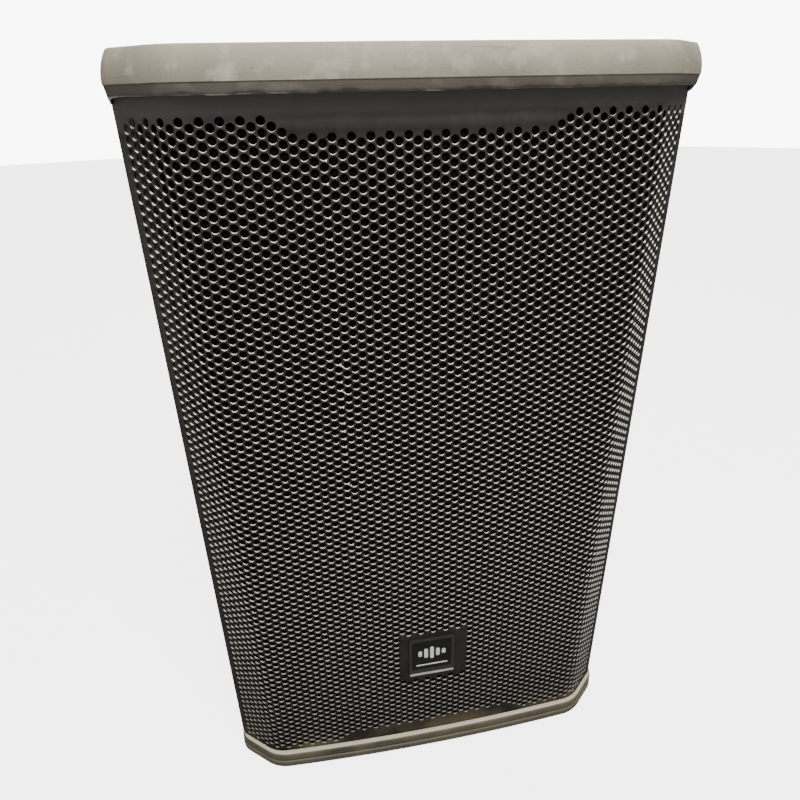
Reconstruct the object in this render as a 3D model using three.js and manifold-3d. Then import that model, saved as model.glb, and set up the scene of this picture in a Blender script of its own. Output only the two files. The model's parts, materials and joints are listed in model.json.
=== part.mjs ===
// A 15-inch two-way powered PA cabinet, in millimetres. +Z is up, the front faces -Y, +X is right
// of the front view from above, and the origin is on the floor under the middle of the cabinet.
import * as THREE from 'three';
import { mergeVertices } from 'three/addons/utils/BufferGeometryUtils.js';
import Module from 'manifold-3d';

const wasm = await Module();
wasm.setup();

// ---- driving dimensions: the whole cabinet -------------------------------------------------
const HEIGHT = 711; // floor to the top of the cap
const WIDTH = 435; // over the cap's side corners
const DEPTH = 358; // cap lip to the cap's rear edge
const GAP = 0.3; // clearance left between pieces that touch

// plan of the cabinet
const SIDE_OVERHANG = 3; // cap's corners beyond the grille's
const SIDE_LEDGE = 2.4; // cap and plinth beyond the side panels, square to them
const LIP_OUT = 16; // cap lip in front of the grille
const WING_LIP = 11; // cap lip over the grille's wings
const REAR_OVERHANG = 14; // cap and plinth behind the rear panel
const PLINTH_OUT = 7.6; // plinth in front of the grille
const PLINTH_WING = 6.5; // plinth over the grille's wings
const BOW_RADIUS = 2650; // gentle bow of the front in plan
const WING_RUN = 38; // width of a wing, seen from the front
const WING_DEPTH = 38; // how far back a wing reaches
const TAPER = 49.5; // how much narrower each side is at the back
const FOLD_RADIUS = 36; // bend between the front and a wing
const CORNER_RADIUS = 20; // cap's and plinth's corners at the sides
const BACK_RADIUS = 12; // and at the back
const LEAST_RADIUS = 2; // corner left where a rounding runs out

// cap and plinth
const CAP_HEIGHT = 29;
const CAP_PLATE = 6;
const CAP_CREASE = 8; // height of the lip's crease above its lower edge
const CAP_UNDERCUT = 3; // lip's lower edge drawn in under the crease
const CAP_SEAT = 12; // cabinet's head above the lip's lower edge
const CAP_FACE_R = 37; // round of the cap's face above the crease
const CAP_EDGE_R = 2.5; // rounding between that face and the top
const HOLLOW_FRONT = 9; // cap's hollow inside the grille face
const HOLLOW_SIDE = 16;
const POCKET_FRONT = 1.2; // clearance of the cabinet in the cap and the plinth
const POCKET_SIDE = 0.5;
const PLINTH_TOP = 24;
const PLINTH_FLOOR = 5;
const PLINTH_GROOVE = 13; // middle of the groove round the plinth
const PLINTH_GROOVE_DEPTH = 1.5;

// wooden box, grille and foam
const PANEL = 15; // plywood of sides, top, bottom and back
const BAFFLE = 18;
const BAFFLE_SETBACK = 35; // baffle face behind the grille
const BRACE_WIDTH = 55;
const BRACE_FROM_REAR = 25; // brace in front of the rear panel's inner face
const BRACE_LIFT = 13; // brace above the side handles' cups
const SHEET = 1.5;
const FOAM = 6;
const FOAM_EDGE = 26; // foam stops short of the wings' outer corners
const GRILLE_TUCK = 8; // grille edge hidden in the cap
const GRILLE_FOOT = 12; // height of the grille's lower edge, behind the plinth's rim
const BADGE_WIDTH = 49;
const BADGE_HEIGHT = 52;
const BADGE_Z = 143.5;
const BADGE_THICK = 2.6;
const BADGE_BAR = 3; // height of the bar along the badge's lower edge
const BADGE_BAR_THICK = 0.5;

// feet, screws and pole socket
const FOOT_HEIGHT = 3; // rubber showing under the plinth
const FOOT_SINK = 2.4; // rubber let into the plinth
const FOOT_R = 14;
const FOOT_BEVEL = 2;
const FOOT_FROM_CORNER = 49.5; // front feet inside the grille's corners
const FOOT_FROM_FRONT = 58;
const FOOT_FROM_REAR = 30;
const FOOT_FROM_SIDE = 35; // rear feet inside the rear corners
const FLY_R = 9; // heads of the suspension screws in the cap
const FLY_THICK = 2.4;
const FLY_SINK = 3;
const FLY_KEY = 3.6;
const FLY_X = 120;
const FLY_FROM_REAR = 70;
const FLY_FROM_FRONT = 53;
const SCREW_R = 3.2;
const SCREW_KEY = 1.6;
const SCREW_THICK = 2.6;
const SCREW_X = -31;
const SCREW_Z = 8;
const SCREW_PROUD = 0.2; // plinth's face in front of the screw's
const POLE_R = 18.2;
const SOCKET_WALL = 3.8;
const SOCKET_DEPTH = 90;
const SOCKET_FLANGE_R = 34;
const SOCKET_FLANGE = 3;

// handles
const CUP_LENGTH = 176;
const CUP_WIDTH = 84;
const CUP_DEPTH = 61;
const CUP_WALL = 3;
const CUP_Y = -10;
const GRIP_WIDTH = 30;
const GRIP_THICK = 20;
const GRIP_DROP = 1; // grip below the top of the cap
const SIDE_CUP_LENGTH = 150;
const SIDE_CUP_HEIGHT = 90;
const SIDE_CUP_DEPTH = 40;
const SIDE_CUP_RADIUS = 20;
const SIDE_CUP_Z = 420;
const SIDE_CUP_FROM_REAR = 115; // middle of the cup in front of the rear panel's face
const FLANGE = 9;
const FLANGE_THICK = 2.5;
const HOOK_DROP = 18; // finger hook below the cup's upper edge
const HOOK_DEPTH = 12;

// woofer
const WOOFER_R = 193;
const WOOFER_RIM = 15; // frame on the baffle round the cutout
const WOOFER_RIM_THICK = 5;
const WOOFER_LIFT = 10; // frame above the bottom panel
const BASKET_DEPTH = 114;
const BASKET_WALL = 5;
const BASKET_BAR = 34; // half the width of a basket window
const GASKET_WIDTH = 9;
const GASKET_THICK = 3;
const SURROUND_WIDTH = 27;
const SURROUND_THICK = 1.2;
const CONE_DEPTH = 62;
const CONE_BEND_R = 100; // where the cone steepens
const CONE_BEND_DEPTH = 40;
const CONE_THICK = 2;
const DUST_CAP_R = 57;
const DUST_CAP_RISE = 20;
const DUST_CAP_DEPTH = 30;
const COIL_R = 38;
const SPIDER_ROOM = 8.7; // between the spider's rim and the basket's wall
const SPIDER_WAVE = 2;
const MAGNET_R = 85;
const MAGNET_LENGTH = 44;
const MAGNET_STEP = 6; // plates smaller than the ring between them
const COIL_GAP_DEPTH = 26;

// horn and compression driver
const HORN_WIDTH = 300;
const HORN_HEIGHT = 200;
const HORN_DEPTH = 118;
const HORN_DROP = 18; // top of the horn below the top panel
const HORN_RIM = 12; // flange on the baffle round the cutout
const HORN_RIM_THICK = 4;
const HORN_WALL = 3;
const HORN_FLARE = 2.2; // exponent of the flare
const THROAT_R = 18;
const COLLAR = 14; // mounting collar round the throat
const DRIVER_R = 48;
const DRIVER_LENGTH = 46;
const DRIVER_NOSE = 8;
const DRIVER_COVER = 14;

// ports
const PORT_R = 33;
const PORT_X = 135;
const PORT_WEB = 6; // baffle left between a port and the woofer
const PORT_TO_CUP = 8.3; // inner end of a port in front of the side handles' cups
const PORT_WALL = 2.5;
const PORT_RIM = 4;
const PORT_RIM_THICK = 3;

// amplifier panel, heat sink and tray
const AMP_WIDTH = 230;
const AMP_HEIGHT = 350;
const AMP_FOOT = 65; // panel's lower edge above the floor
const AMP_PLATE = 3;
const AMP_BORDER = 10; // panel overlap on the rear panel
const FIN_COUNT = 15;
const FIN_PITCH = 13;
const FIN = 3;
const FIN_BASE = 2.4;
const FIN_TALL = 9.6;
const SINK_LIFT = 35; // heat sink above the knobs' row
const SINK_DROP = 18; // and below the panel's upper edge
const TRAY_DEPTH = 52;
const TRAY_WALL = 1.5;
const BOARD_DEPTH = 32; // circuit board in front of the rear face
const BOARD_THICK = 1.6;
const BOARD_HALF = 90;
const BOARD_LIFT = 14.7; // board above the tray's lower wall
const TRANSFORMER_R = 46;
const TRANSFORMER_BORE = 20;
const TRANSFORMER_TALL = 30;
const TRANSFORMER_DROP = 66.7; // its middle below the tray's upper wall
const CAPACITOR_R = 13;
const CAPACITOR_TALL = 32;
const CAPACITOR_X = 70;
const COMPONENT_LIFT = 14; // components in front of the board's plane
const BOARD_ABOVE = 58; // board's upper edge below the transformer's middle

// controls, by their height above the panel's lower edge
const CHANNEL_X = [70, 22]; // channel one is on the left, seen from behind
const LINK_X = -30;
const POWER_LIFT = 40;
const JACK_LIFT = 103;
const BUTTON_LIFT = 141;
const KNOB_LIFT = 170;
const JACK = { radius: 12, wall: 3, depth: 16, bore: 10, flange: 1.8, margin: 1, above: 3.5 };
const LATCH = { width: 9, height: 5, travel: 2, overlap: 1.8, sink: 2.5 };
const KNOB = { radius: 8.5, cap: 6.2, tall: 9.6, skirt: 3, standoff: 0.8, shaft: 3.5, pointer: 0.6 };
const BUTTON = { radius: 3, proud: 2.6, bevel: 0.5, tail: 6 };
const LAMP_R = 2.5;
const INLET = { x: -48, width: 50, height: 30, rim: 6, opening: 26, tall: 16, flange: 2, depth: 18 };
const ROCKER = { x: 12, width: 21, height: 27, frame: 4, tilt: 8, raise: 2.4, face: 1, room: 0.8 };

// facets
const BEND_STEPS = 4;
const BOW_STEPS = 5;
const CAP_FACE_STEPS = 3;
const CAP_EDGE_STEPS = 3;
const LARGE_TURN = 36; // facets round the woofer
const SMALL_TURN = 24;
const FLARE_POINTS = 20;

// ---- worked-out places ----------------------------------------------------------------------
const FRONT_Y = -DEPTH / 2 + LIP_OUT; // grille face at the middle
const REAR_Y = DEPTH / 2 - REAR_OVERHANG; // rear panel's outer face
const HALF = WIDTH / 2 - SIDE_OVERHANG; // outer corner of a wing
const BOW_CENTRE = new THREE.Vector2(0, FRONT_Y + BOW_RADIUS);
const FOLD = new THREE.Vector2(HALF - WING_RUN, 0);
FOLD.y = BOW_CENTRE.y - Math.sqrt(BOW_RADIUS ** 2 - FOLD.x ** 2);
const CORNER = new THREE.Vector2(HALF, FRONT_Y + WING_DEPTH);
const REAR_CORNER = new THREE.Vector2(HALF - TAPER, REAR_Y);
const TAPER_ANGLE = Math.atan2(TAPER, REAR_CORNER.y - CORNER.y);
const PLINTH_INSIDE = FOOT_HEIGHT + PLINTH_FLOOR;
const LIP_Z = HEIGHT - CAP_HEIGHT;
const CABINET_FOOT = PLINTH_INSIDE + GAP;
const CABINET_HEAD = LIP_Z + CAP_SEAT - GAP;
const ROOM_FLOOR = CABINET_FOOT + PANEL; // top of the bottom panel
const ROOM_ROOF = CABINET_HEAD - PANEL; // underside of the top panel
const BAFFLE_Y = FRONT_Y + BAFFLE_SETBACK;
const BAFFLE_BACK = BAFFLE_Y + BAFFLE;
const REAR_INSIDE = REAR_Y - PANEL;
const SIDE_CUP_Y = REAR_Y - SIDE_CUP_FROM_REAR;
const FRAME_FACE = BAFFLE_Y - GAP; // rear face of what is mounted on the baffle
const PORT_LENGTH = SIDE_CUP_Y - SIDE_CUP_LENGTH / 2 - PORT_TO_CUP - FRAME_FACE;
const WOOFER_Z = ROOM_FLOOR + WOOFER_LIFT + WOOFER_R;
const WOOFER_CUTOUT = WOOFER_R - WOOFER_RIM;
const SURROUND_OUT = WOOFER_R - GASKET_WIDTH - 1;
const SURROUND_IN = SURROUND_OUT - SURROUND_WIDTH;
const CONE_R = SURROUND_IN - 1;
const PORT_Z = WOOFER_Z + Math.sqrt((WOOFER_R + PORT_R + PORT_WEB) ** 2 - PORT_X ** 2);
const HORN_Z = ROOM_ROOF - HORN_DROP - HORN_HEIGHT / 2;
const THROAT_Y = FRAME_FACE + HORN_DEPTH;
const PLATE_BACK = REAR_Y + GAP;
const PLATE_FACE = PLATE_BACK + AMP_PLATE;
const AMP_TOP = AMP_FOOT + AMP_HEIGHT;
const POWER_Z = AMP_FOOT + POWER_LIFT;
const JACK_Z = AMP_FOOT + JACK_LIFT;
const BUTTON_Z = AMP_FOOT + BUTTON_LIFT;
const KNOB_Z = AMP_FOOT + KNOB_LIFT;
const TRAY_TOP = AMP_TOP - AMP_BORDER - GAP;
const TRANSFORMER_Z = TRAY_TOP - TRANSFORMER_DROP;
const FEET = [
  [FOOT_FROM_CORNER - HALF, FRONT_Y + FOOT_FROM_FRONT],
  [HALF - FOOT_FROM_CORNER, FRONT_Y + FOOT_FROM_FRONT],
  [REAR_CORNER.x - FOOT_FROM_SIDE, REAR_Y - FOOT_FROM_REAR],
  [FOOT_FROM_SIDE - REAR_CORNER.x, REAR_Y - FOOT_FROM_REAR],
];
const FLY_POINTS = [
  [-FLY_X, REAR_Y - FLY_FROM_REAR],
  [FLY_X, REAR_Y - FLY_FROM_REAR],
  [0, FRONT_Y + FLY_FROM_FRONT],
];

// ---- finishes -------------------------------------------------------------------------------
const finish = (color, roughness, metalness = 0) =>
  new THREE.MeshStandardMaterial({ color, roughness, metalness });
const CAP_PLASTIC = finish(0x8c877c, 0.6);
const PLINTH_PLASTIC = finish(0x3f3a33, 0.7);
const BLACK_PAINT = finish(0x1b1a19, 0.8);
const GRILLE_PAINT = finish(0x2b2a28, 0.5, 0.4);
const FOAM_BLACK = finish(0x0c0c0c, 0.95);
const RAW_PLY = finish(0xb08a58, 0.75);
const BLACK_PLASTIC = finish(0x1d1d1e, 0.55);
const RUBBER = finish(0x161616, 0.9);
const PAPER = finish(0x202022, 0.85);
const LINEN = finish(0xa88446, 0.9);
const CAST_METAL = finish(0x2a2b2d, 0.6, 0.5);
const STEEL = finish(0xa9abad, 0.35, 0.9);
const COPPER = finish(0xb87333, 0.4, 0.9);
const FERRITE = finish(0x3b3c3f, 0.6, 0.3);
const BOARD_GREEN = finish(0x1f5c3a, 0.5);
const LAMP = finish(0x6fd08a, 0.2);
const PALE_TRIM = finish(0xc9c4b4, 0.3, 0.8);

// ---- solids ---------------------------------------------------------------------------------
const flat = (x, y) => new THREE.Vector2(x, y);

function solid(geometry) {
  const bare = new THREE.BufferGeometry();
  bare.setAttribute('position', geometry.getAttribute('position'));
  bare.setIndex(geometry.getIndex());
  const merged = mergeVertices(bare, 1e-4);
  return new wasm.Manifold(new wasm.Mesh({
    numProp: 3,
    vertProperties: new Float32Array(merged.getAttribute('position').array),
    triVerts: new Uint32Array(merged.getIndex().array),
  }));
}

function geometryOf(manifold) {
  const result = manifold.getMesh();
  const geometry = new THREE.BufferGeometry();
  const vertices = new Float32Array(result.vertProperties);
  geometry.setAttribute('position', new THREE.BufferAttribute(vertices, 3));
  geometry.setIndex(new THREE.BufferAttribute(new Uint32Array(result.triVerts), 1));
  geometry.computeVertexNormals();
  return geometry;
}

function cut(base, ...tools) {
  return geometryOf(tools.reduce((rest, tool) => rest.subtract(solid(tool)), solid(base)));
}

function join(base, ...others) {
  return geometryOf(others.reduce((sum, other) => sum.add(solid(other)), solid(base)));
}

const common = (a, b) => geometryOf(solid(a).intersect(solid(b)));

// box between two corners
function block(x0, x1, y0, y1, z0, z1) {
  const box = new THREE.BoxGeometry(x1 - x0, y1 - y0, z1 - z0);
  return box.translate((x0 + x1) / 2, (y0 + y1) / 2, (z0 + z1) / 2);
}

// outline in plan, raised from z0 to z1
function prism(outline, z0, z1) {
  const shape = new THREE.Shape(outline);
  const options = { depth: z1 - z0, bevelEnabled: false };
  return new THREE.ExtrudeGeometry(shape, options).translate(0, 0, z0);
}

// outline of (x, z) points, running from y0 back to y1
const slab = (outline, y0, y1) => prism(outline, 0, y1 - y0).rotateX(Math.PI / 2).translate(0, y1, 0);

// outline of (y, z) points, running from x0 to x1
function rail(outline, x0, x1) {
  const turn = new THREE.Matrix4().set(0, 0, 1, 0, 1, 0, 0, 0, 0, 1, 0, 0, 0, 0, 0, 1);
  return prism(outline, x0, x1).applyMatrix4(turn);
}

// rings of plan points, each with its height, skinned into one closed solid
function loft(rings) {
  const count = rings[0].outline.length;
  const positions = rings.flatMap(({ outline, z }) => outline.flatMap((p) => [p.x, p.y, z]));
  const index = [];
  for (let level = 0; level < rings.length - 1; level += 1) {
    for (let i = 0; i < count; i += 1) {
      const next = (i + 1) % count;
      const [a, b] = [level * count + i, level * count + next];
      index.push(a, b, b + count, a, b + count, a + count);
    }
  }
  const top = (rings.length - 1) * count;
  for (const [a, b, c] of THREE.ShapeUtils.triangulateShape(rings[0].outline, [])) {
    index.push(a, c, b);
  }
  for (const [a, b, c] of THREE.ShapeUtils.triangulateShape(rings.at(-1).outline, [])) {
    index.push(top + a, top + b, top + c);
  }
  const geometry = new THREE.BufferGeometry();
  geometry.setAttribute('position', new THREE.Float32BufferAttribute(positions, 3));
  geometry.setIndex(index);
  geometry.computeVertexNormals();
  return geometry;
}

// profile of [radius, y] pairs turned about the Y axis; it closes on itself or ends on the axis
function turned(profile, segments = 32) {
  const points = profile.map(([r, y]) => flat(r, y));
  if (THREE.ShapeUtils.area(points) < 0) points.reverse();
  const onAxis = points[0].x === 0 && points.at(-1).x === 0;
  if (!onAxis) points.push(points[0].clone());
  return new THREE.LatheGeometry(points, segments);
}

const disc = (r, y0, y1, segments = 24) => turned([[0, y0], [r, y0], [r, y1], [0, y1]], segments);
const upright = (geometry) => geometry.rotateX(Math.PI / 2);
const post = (r, z0, z1, segments = 24) => upright(disc(r, z0, z1, segments));

// rounded rectangle, counter-clockwise, with its corners as arcs
function roundedBox(width, height, radius, steps = 4) {
  const points = [];
  const corners = [[1, 1, 0], [-1, 1, 1], [-1, -1, 2], [1, -1, 3]];
  for (const [sx, sy, quarter] of corners) {
    for (let step = 0; step <= steps; step += 1) {
      const angle = (quarter + step / steps) * (Math.PI / 2);
      const x = sx * (width / 2 - radius) + radius * Math.cos(angle);
      points.push(flat(x, sy * (height / 2 - radius) + radius * Math.sin(angle)));
    }
  }
  return points;
}

// ---- the cabinet's plan ---------------------------------------------------------------------
// a line through two points, moved outwards (to the right of its direction) by a distance
function edge(from, to, out) {
  const along = to.clone().sub(from).normalize();
  const normal = flat(along.y, -along.x);
  return { point: from.clone().addScaledVector(normal, out), along };
}

function meet(a, b) {
  const gap = b.point.clone().sub(a.point);
  const t = gap.cross(b.along) / a.along.cross(b.along);
  return a.point.clone().addScaledVector(a.along, t);
}

// where a line crosses the bowed front, grown outwards
function meetBow(line, out) {
  const offset = line.point.clone().sub(BOW_CENTRE);
  const half = offset.dot(line.along);
  const rest = offset.lengthSq() - (BOW_RADIUS + out) ** 2;
  return line.point.clone().addScaledVector(line.along, -half - Math.sqrt(half * half - rest));
}

// arc that replaces the corner between two neighbours
function rounded(before, corner, after, radius, steps) {
  const back = before.clone().sub(corner).normalize();
  const on = after.clone().sub(corner).normalize();
  const half = Math.acos(back.dot(on)) / 2;
  const middle = back.clone().add(on).normalize();
  const centre = corner.clone().addScaledVector(middle, radius / Math.sin(half));
  const start = corner.clone().addScaledVector(back, radius / Math.tan(half)).sub(centre);
  const turn = Math.PI - 2 * half;
  return Array.from({ length: steps + 1 }, (_, i) =>
    start.clone().rotateAround(flat(0, 0), (turn * i) / steps).add(centre));
}

const mirrored = (points) => points.map((p) => flat(-p.x, p.y)).reverse();

// right half of the bow from the middle, then the bend into the wing, towards the wing's end
function bowAndFold(front, wingEdge, wingOut, wingEnd) {
  const fold = meetBow(wingEdge, front);
  const radius = BOW_RADIUS + front;
  const tangent = flat(-(fold.y - BOW_CENTRE.y), fold.x);
  const bend = rounded(fold.clone().sub(tangent), fold, wingEnd, FOLD_RADIUS + wingOut, BEND_STEPS);
  const reach = Math.asin(bend[0].x / radius);
  const bow = Array.from({ length: BOW_STEPS }, (_, i) => {
    const angle = (reach * i) / BOW_STEPS;
    return flat(radius * Math.sin(angle), BOW_CENTRE.y - radius * Math.cos(angle));
  });
  return [...bow, ...bend];
}

// closed outline, with its own growth at the front, the wings, the sides and the back
function plan({ front, wing = front, side = wing, rear = side, corner = 0, back = 0 }) {
  const wingEdge = edge(FOLD, CORNER, wing);
  const sideEdge = edge(CORNER, REAR_CORNER, side);
  const rearEdge = edge(REAR_CORNER, flat(0, REAR_Y), rear);
  const [wingEnd, sideEnd] = [meet(wingEdge, sideEdge), meet(sideEdge, rearEdge)];
  const right = [
    ...bowAndFold(front, wingEdge, wing, wingEnd),
    ...(corner ? rounded(FOLD, wingEnd, sideEnd, corner, 4) : [wingEnd]),
    ...(back ? rounded(wingEnd, sideEnd, flat(0, sideEnd.y), back, 3) : [sideEnd]),
  ];
  return [...right, ...mirrored(right.slice(1))];
}

// x of the side's face at a given y, moved inwards
function sideX(y, inwards) {
  const line = edge(CORNER, REAR_CORNER, -inwards);
  return line.point.x + ((y - line.point.y) * line.along.x) / line.along.y;
}

// board between the side panels from y0 back to y1
function boardPlan(y0, y1) {
  const [a, b] = [sideX(y0, PANEL + GAP), sideX(y1, PANEL + GAP)];
  return [flat(-a, y0), flat(a, y0), flat(b, y1), flat(-b, y1)];
}

// outline of the top handle's cup, grown outwards
const stadium = (grow) =>
  roundedBox(CUP_LENGTH + 2 * grow, CUP_WIDTH + 2 * grow, CUP_WIDTH / 2 + grow, 5)
    .map((p) => flat(p.x, p.y + CUP_Y));

// ---- assembly -------------------------------------------------------------------------------
const cabinet = new THREE.Group();

function place(name, geometry, material, x = 0, y = 0, z = 0) {
  const mesh = new THREE.Mesh(geometry, material);
  mesh.name = name;
  mesh.position.set(x, y, z);
  cabinet.add(mesh);
  return mesh;
}

// ---- wooden box -----------------------------------------------------------------------------
const sideTurn = (side) => (side > 0 ? TAPER_ANGLE : Math.PI - TAPER_ANGLE);
const sideCupPlace = (side) => [side * sideX(SIDE_CUP_Y, 0), SIDE_CUP_Y, SIDE_CUP_Z];

function sideCupHole(side) {
  const [length, height] = [SIDE_CUP_LENGTH + 2 * GAP, SIDE_CUP_HEIGHT + 2 * GAP];
  const shape = roundedBox(length, height, SIDE_CUP_RADIUS + GAP);
  const tool = slab(shape, -SIDE_CUP_DEPTH, SIDE_CUP_DEPTH).rotateZ(-Math.PI / 2);
  return tool.rotateZ(sideTurn(side)).translate(...sideCupPlace(side));
}

function sidePanel(side) {
  const front = edge(FOLD, CORNER, -(SHEET + GAP));
  const [outer, inner] = [edge(CORNER, REAR_CORNER, 0), edge(CORNER, REAR_CORNER, -PANEL)];
  const back = edge(flat(1, REAR_Y), flat(0, REAR_Y), 0);
  const points = [meet(front, outer), meet(outer, back), meet(inner, back), meet(front, inner)];
  const shape = side > 0 ? points : mirrored(points);
  return cut(prism(shape, CABINET_FOOT, CABINET_HEAD), sideCupHole(side));
}

function woodenBox() {
  const front = -(SHEET + FOAM + 1);
  const inset = { front, wing: front, side: -(PANEL + GAP), rear: -(PANEL + GAP) };
  const socketHole = post(POLE_R + SOCKET_WALL + GAP, 0, HEIGHT / 2);
  const cupHole = prism(stadium(GAP), HEIGHT / 2, HEIGHT);
  place('side_panel_right', sidePanel(1), BLACK_PAINT);
  place('side_panel_left', sidePanel(-1), BLACK_PAINT);
  place('bottom_panel', cut(prism(plan(inset), CABINET_FOOT, ROOM_FLOOR), socketHole), RAW_PLY);
  place('top_panel', cut(prism(plan(inset), ROOM_ROOF, CABINET_HEAD), cupHole), RAW_PLY);
  place('rear_panel', rearPanel(), BLACK_PAINT);
  place('front_baffle', frontBaffle(), BLACK_PAINT);
  place('cross_brace', crossBrace(), RAW_PLY);
}

function rearPanel() {
  const board = prism(boardPlan(REAR_INSIDE, REAR_Y), CABINET_FOOT, CABINET_HEAD);
  const half = AMP_WIDTH / 2 - AMP_BORDER;
  return cut(board, block(-half, half, 0, DEPTH, AMP_FOOT + AMP_BORDER, AMP_TOP - AMP_BORDER));
}

function frontBaffle() {
  const board = prism(boardPlan(BAFFLE_Y, BAFFLE_BACK), ROOM_FLOOR + GAP, ROOM_ROOF - GAP);
  const [y0, y1] = [BAFFLE_Y - BAFFLE, BAFFLE_BACK + BAFFLE];
  const hole = (r, x, z, turn) => disc(r + GAP, y0, y1, turn).translate(x, 0, z);
  const rim = 2 * (HORN_RIM - GAP);
  const hornHole = roundedBox(HORN_WIDTH - rim, HORN_HEIGHT - rim, HORN_RIM + 2);
  return cut(
    board,
    hole(WOOFER_CUTOUT, 0, WOOFER_Z, LARGE_TURN),
    hole(PORT_R, PORT_X, PORT_Z, SMALL_TURN),
    hole(PORT_R, -PORT_X, PORT_Z, SMALL_TURN),
    slab(hornHole, y0, y1).translate(0, 0, HORN_Z),
  );
}

function crossBrace() {
  const back = REAR_INSIDE - BRACE_FROM_REAR;
  const z = SIDE_CUP_Z + SIDE_CUP_HEIGHT / 2 + BRACE_LIFT;
  return prism(boardPlan(back - BRACE_WIDTH, back), z, z + PANEL);
}

// ---- cap, plinth and feet -------------------------------------------------------------------
const capGrowth = (inset) => ({
  front: LIP_OUT - inset,
  wing: WING_LIP - inset,
  side: SIDE_LEDGE - inset,
  rear: REAR_OVERHANG - inset,
  corner: Math.max(CORNER_RADIUS - inset, LEAST_RADIUS),
  back: Math.max(BACK_RADIUS - inset, LEAST_RADIUS),
});

const plinthGrowth = (inset) => ({
  ...capGrowth(inset),
  front: PLINTH_OUT - inset,
  wing: PLINTH_WING - inset,
});

const pocket = { front: POCKET_FRONT, side: POCKET_SIDE, rear: POCKET_SIDE };
const capHollow = { front: -HOLLOW_FRONT, side: -HOLLOW_SIDE, rear: -HOLLOW_FRONT };

// lower edge, crease, then a gently rounded face and a small rounding into the top
function capRings() {
  const crease = LIP_Z + CAP_CREASE;
  const [big, small] = [CAP_FACE_R, CAP_EDGE_R];
  const rise = HEIGHT - small - crease; // centre of the small rounding above the crease
  const meeting = Math.asin(rise / (big - small)); // where the two arcs touch
  const inset = big - (big - small) * Math.cos(meeting);
  const rings = [[CAP_UNDERCUT, LIP_Z], [0.8, crease - 1]];
  for (let step = 0; step <= CAP_FACE_STEPS; step += 1) {
    const angle = (step / CAP_FACE_STEPS) * meeting;
    rings.push([big * (1 - Math.cos(angle)), crease + big * Math.sin(angle)]);
  }
  for (let step = 1; step <= CAP_EDGE_STEPS; step += 1) {
    const angle = meeting + (step / CAP_EDGE_STEPS) * (Math.PI / 2 - meeting);
    rings.push([inset - small * Math.cos(angle), crease + rise + small * Math.sin(angle)]);
  }
  return rings.map(([depth, z]) => ({ outline: plan(capGrowth(depth)), z }));
}

function topCap() {
  const flyHole = ([x, y]) => post(FLY_R + 1, HEIGHT - FLY_SINK, HEIGHT + 1, 16).translate(x, y, 0);
  return cut(
    loft(capRings()),
    prism(plan(pocket), LIP_Z - 1, LIP_Z + CAP_SEAT),
    prism(plan(capHollow), LIP_Z, HEIGHT - CAP_PLATE),
    prism(stadium(GAP), LIP_Z, HEIGHT + 1),
    ...FLY_POINTS.map(flyHole),
  );
}

// lower band, groove, upper band and a rounded rim
function plinthRings() {
  const [low, deep] = [PLINTH_GROOVE - 0.8, PLINTH_GROOVE_DEPTH];
  const steps = [
    [1.5, FOOT_HEIGHT], [0, FOOT_HEIGHT + 2],
    [0, low - 0.6], [deep, low], [deep, low + 1.6], [0.4, low + 2.4],
    [0.6, PLINTH_TOP - 2.5], [2.6, PLINTH_TOP],
  ];
  return steps.map(([inset, z]) => ({ outline: plan(plinthGrowth(inset)), z }));
}

function bottomPlinth() {
  const footTop = FOOT_HEIGHT + FOOT_SINK + GAP;
  const footHole = ([x, y]) => post(FOOT_R + 2 * GAP, 0, footTop, 14).translate(x, y, 0);
  const screwHole = disc(SCREW_R + GAP, -DEPTH / 2, screwFace + SCREW_THICK + 0.4, 16);
  return cut(
    loft(plinthRings()),
    prism(plan(pocket), PLINTH_INSIDE, PLINTH_TOP + 1),
    post(POLE_R + SOCKET_WALL + GAP, 0, PLINTH_TOP),
    post(SOCKET_FLANGE_R + GAP, 0, FOOT_HEIGHT + SOCKET_FLANGE + GAP),
    ...FEET.map(footHole),
    screwHole.translate(SCREW_X, 0, SCREW_Z),
  );
}

const screwFace = FRONT_Y - PLINTH_OUT + SCREW_PROUD;

function plinthScrew() {
  const head = disc(SCREW_R, screwFace, screwFace + SCREW_THICK, 16);
  return cut(head, disc(SCREW_KEY, screwFace - 1, screwFace + SCREW_KEY, 6));
}

// hexagon-socket screw head, seen from above
function flyScrew() {
  return cut(post(FLY_R, 0, FLY_THICK, 16), post(FLY_KEY, 1, FLY_THICK + 1, 6));
}

function foot() {
  const top = FOOT_HEIGHT + FOOT_SINK;
  const profile = [[0, 0], [FOOT_R - FOOT_BEVEL, 0], [FOOT_R, FOOT_BEVEL], [FOOT_R, top], [0, top]];
  return upright(turned(profile, 14));
}

function poleSocket() {
  const [r, outer, base] = [POLE_R, POLE_R + SOCKET_WALL, FOOT_HEIGHT];
  const crown = base + SOCKET_DEPTH;
  return upright(turned([
    [r, base], [SOCKET_FLANGE_R, base], [SOCKET_FLANGE_R, base + SOCKET_FLANGE],
    [outer, base + SOCKET_FLANGE], [outer, crown + SOCKET_WALL], [0, crown + SOCKET_WALL],
    [0, crown], [r, crown],
  ], SMALL_TURN));
}

function capAndPlinth() {
  place('top_cap', topCap(), CAP_PLASTIC);
  FLY_POINTS.forEach(([x, y], i) => {
    place(`fly_point_${i + 1}`, flyScrew(), STEEL, x, y, HEIGHT - FLY_SINK + GAP);
  });
  place('bottom_plinth', bottomPlinth(), PLINTH_PLASTIC);
  place('plinth_screw', plinthScrew(), STEEL, SCREW_X, 0, SCREW_Z);
  FEET.forEach(([x, y], i) => place(`rubber_foot_${i + 1}`, foot(), RUBBER, x, y, 0));
  place('pole_socket', poleSocket(), BLACK_PLASTIC);
}

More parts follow.
